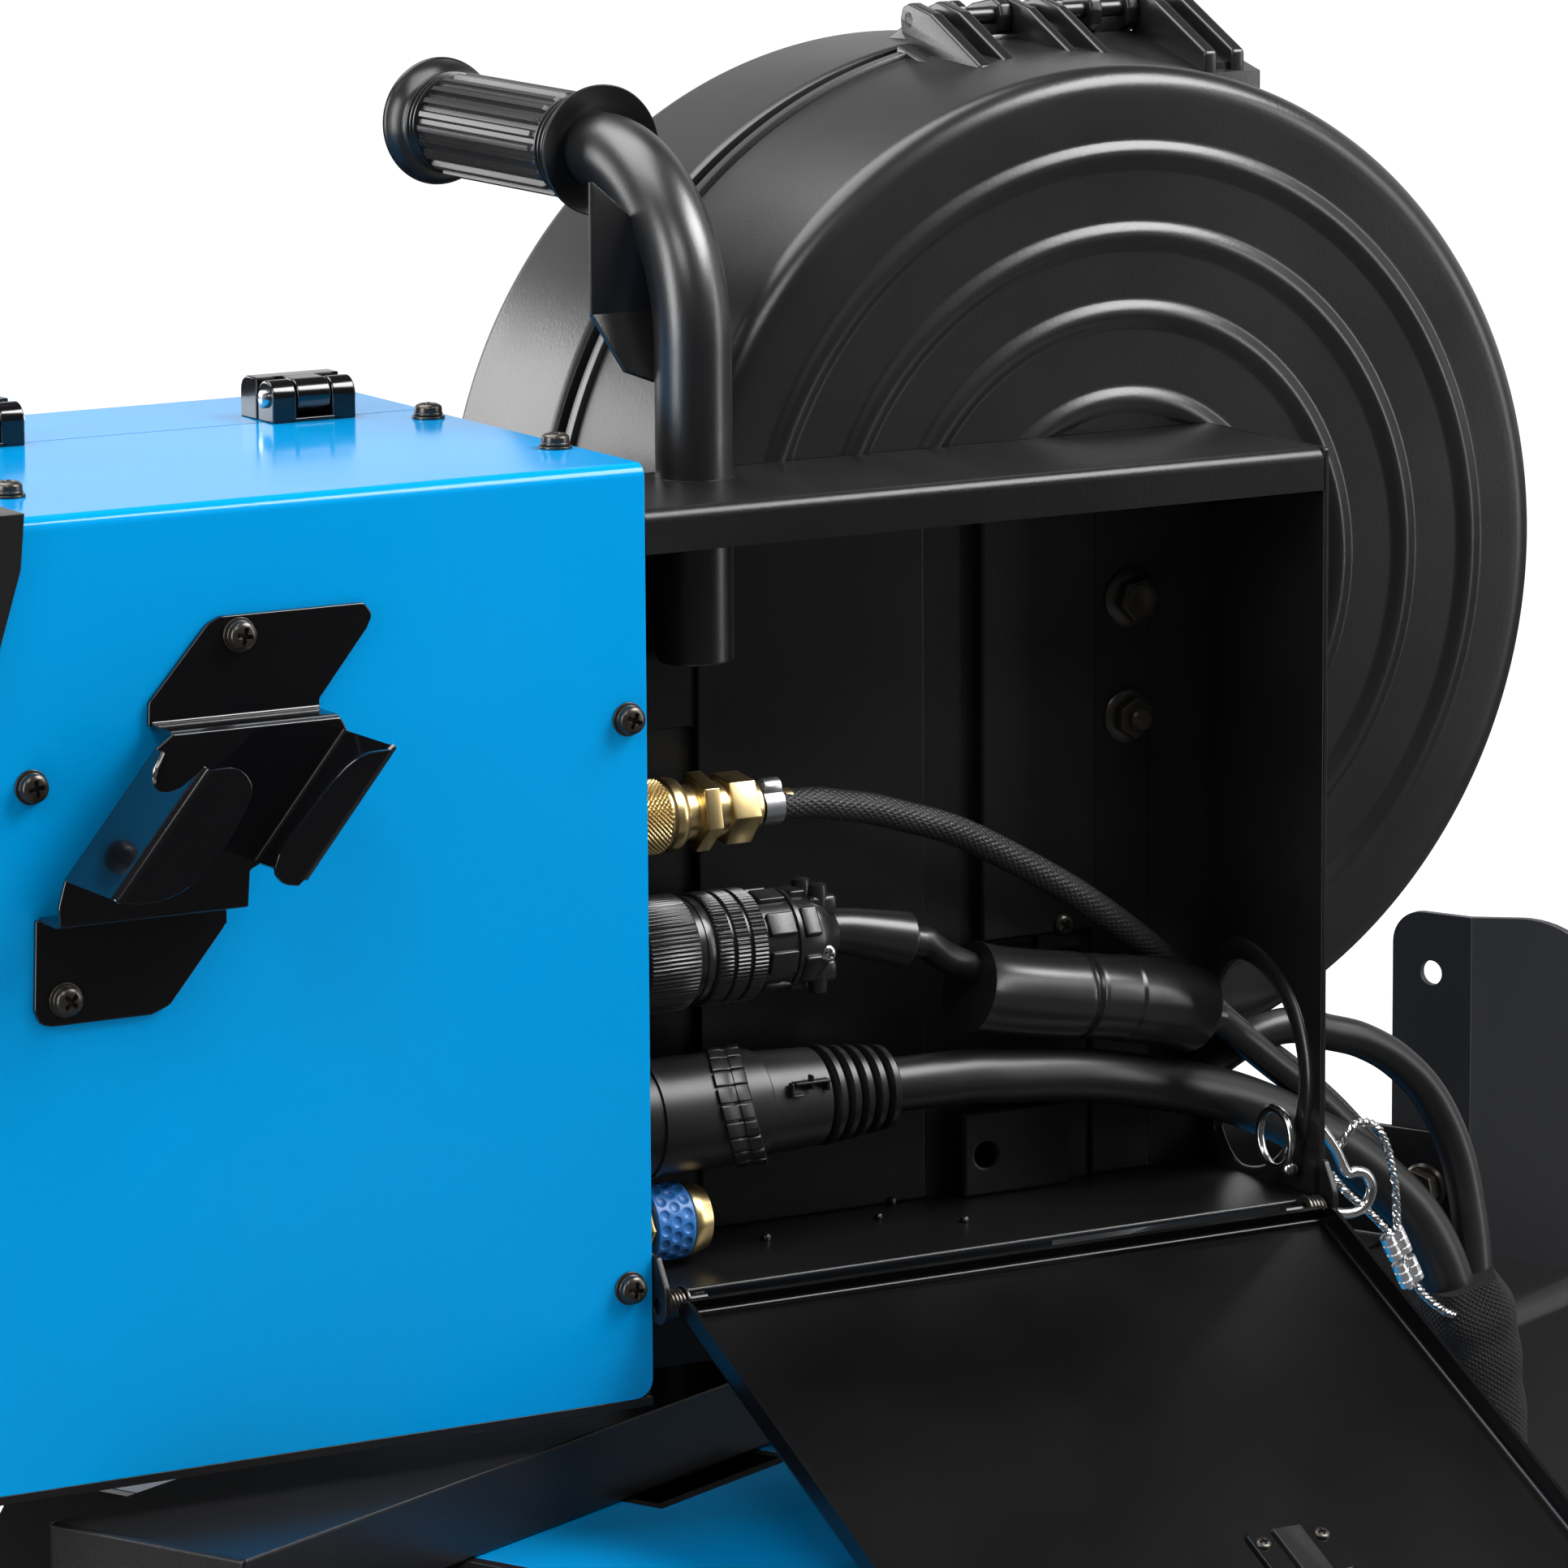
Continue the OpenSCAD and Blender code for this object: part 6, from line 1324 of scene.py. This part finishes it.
def push_bar():
    """The tubular push handle: two legs joined over round corners, with a foot flange on each."""
    q = np.linspace(0, np.pi / 2, 16)
    left = np.stack([np.full(16, PUSH_X), PUSH_BEND - PUSH_Y - PUSH_BEND * np.cos(q),
                     PUSH_TOP - PUSH_BEND + PUSH_BEND * np.sin(q)], -1)
    leg = np.array([[PUSH_X, -PUSH_Y, PUSH_Z], [PUSH_X, -PUSH_Y, 400]])
    half = np.concatenate([leg, left])
    path = np.concatenate([half, half[::-1] * [1, -1, 1]])
    feet = [moved(lathe([(0, 24), (4, 24), (6, 22), (6.5, 14)], 64), (PUSH_X, y, PUSH_Z), ALONG_Z)
            for y in (-PUSH_Y, PUSH_Y)]
    add_piece("push_bar", joined(tube(path, 14, 40), *feet), "frame_black", "push_handle", place=on_cart,
              flat=True)
    ribs = [(x, 16 + 0.7 * (k % 2)) for k, x in enumerate(np.linspace(-70, 70, 57))]
    sleeve = [(-75, 13.5), (-74, 16), (-72, 16.8), *ribs, (72, 16.8), (74, 16), (75, 13.5)]
    add_piece("push_bar_grip", moved(lathe(sleeve, 64), (PUSH_X, 0, PUSH_TOP), ALONG_Y), "grip_rubber",
              body="cart", place=on_cart)


def tread(x, t):
    """Zigzag tread: grooves 1.6 mm deep on the tyre's outer width, shifted from side to side along x."""
    wave = np.cos(36 * t + 4.5 * np.sin(x / 5.5))
    return -1.6 * (np.abs(x) < 21) * np.clip(wave * 3 - 1.6, 0, 1)


def wheels():
    """Rear tyres with tread, rims with rolled edges, and the casters' forks and wheels."""
    crown = [(x, 124.2 + 0.8 * (1 - (x / 18) ** 2)) for x in np.linspace(-18, 18, 25)]
    profile = [(-22, 97), (-25, 103), (-25, 112), (-22.5, 119), (-19, 122.4), *crown,
               (19, 122.4), (22.5, 119), (25, 112), (25, 103), (22, 97)]
    for side, y in (("near", -TYRE_Y), ("far", TYRE_Y)):
        skin = moved(lathe(profile, 432, tread, ring=True), (TYRE_X, y, TYRE_Z), ALONG_Y)
        add_piece("rear_tyre_" + side, skin, "tyre_rubber", "rear_tyre_" + side, place=on_cart)
        softened("rear_rim_" + side, 1.0)
        softened("caster_fork_" + side, 0.8)
        softened("caster_wheel_" + side, 1.2)


def plain_solids():
    """Solids that need no more than rolled edges, each with the width of its roll."""
    widths = dict(chassis=0.8, rear_axle=0.6, cooler_case=0.6, cooler_front=1.0, coolant_tank=1.5,
                  filler_cap=0.8, source_base=0.6, source_cover=0.6, source_front=1.2, source_rear=0.8,
                  source_sockets=0.8, main_switch=1.2, transformer=0.6, source_fan=0.4, feeder_base=0.4,
                  front_bezel=1.4,
                  knob_upper=0.7, knob_lower=0.7, torch_socket=0.5, flap_latch=0.5, spool=0.5, spool_hub=0.5,
                  wire_winding=0.5, drive_unit=0.8, feed_roll=0.4, pressure_arm=0.8, pressure_roll=0.4)
    for node, width in widths.items():
        softened(node, width)


box_covers()
box_screws()
lid_hinges()
torch_rest()
housing_sheets()
wall_fasteners()
opening_edging()
flap()
handle()
grip()
drum()
gas_coupling()
control_connector()
power_connector()
water_couplings()
bay_cables()
outer_bundle()
tether_set()
rests_and_bracket()
push_bar()
wheels()
plain_solids()
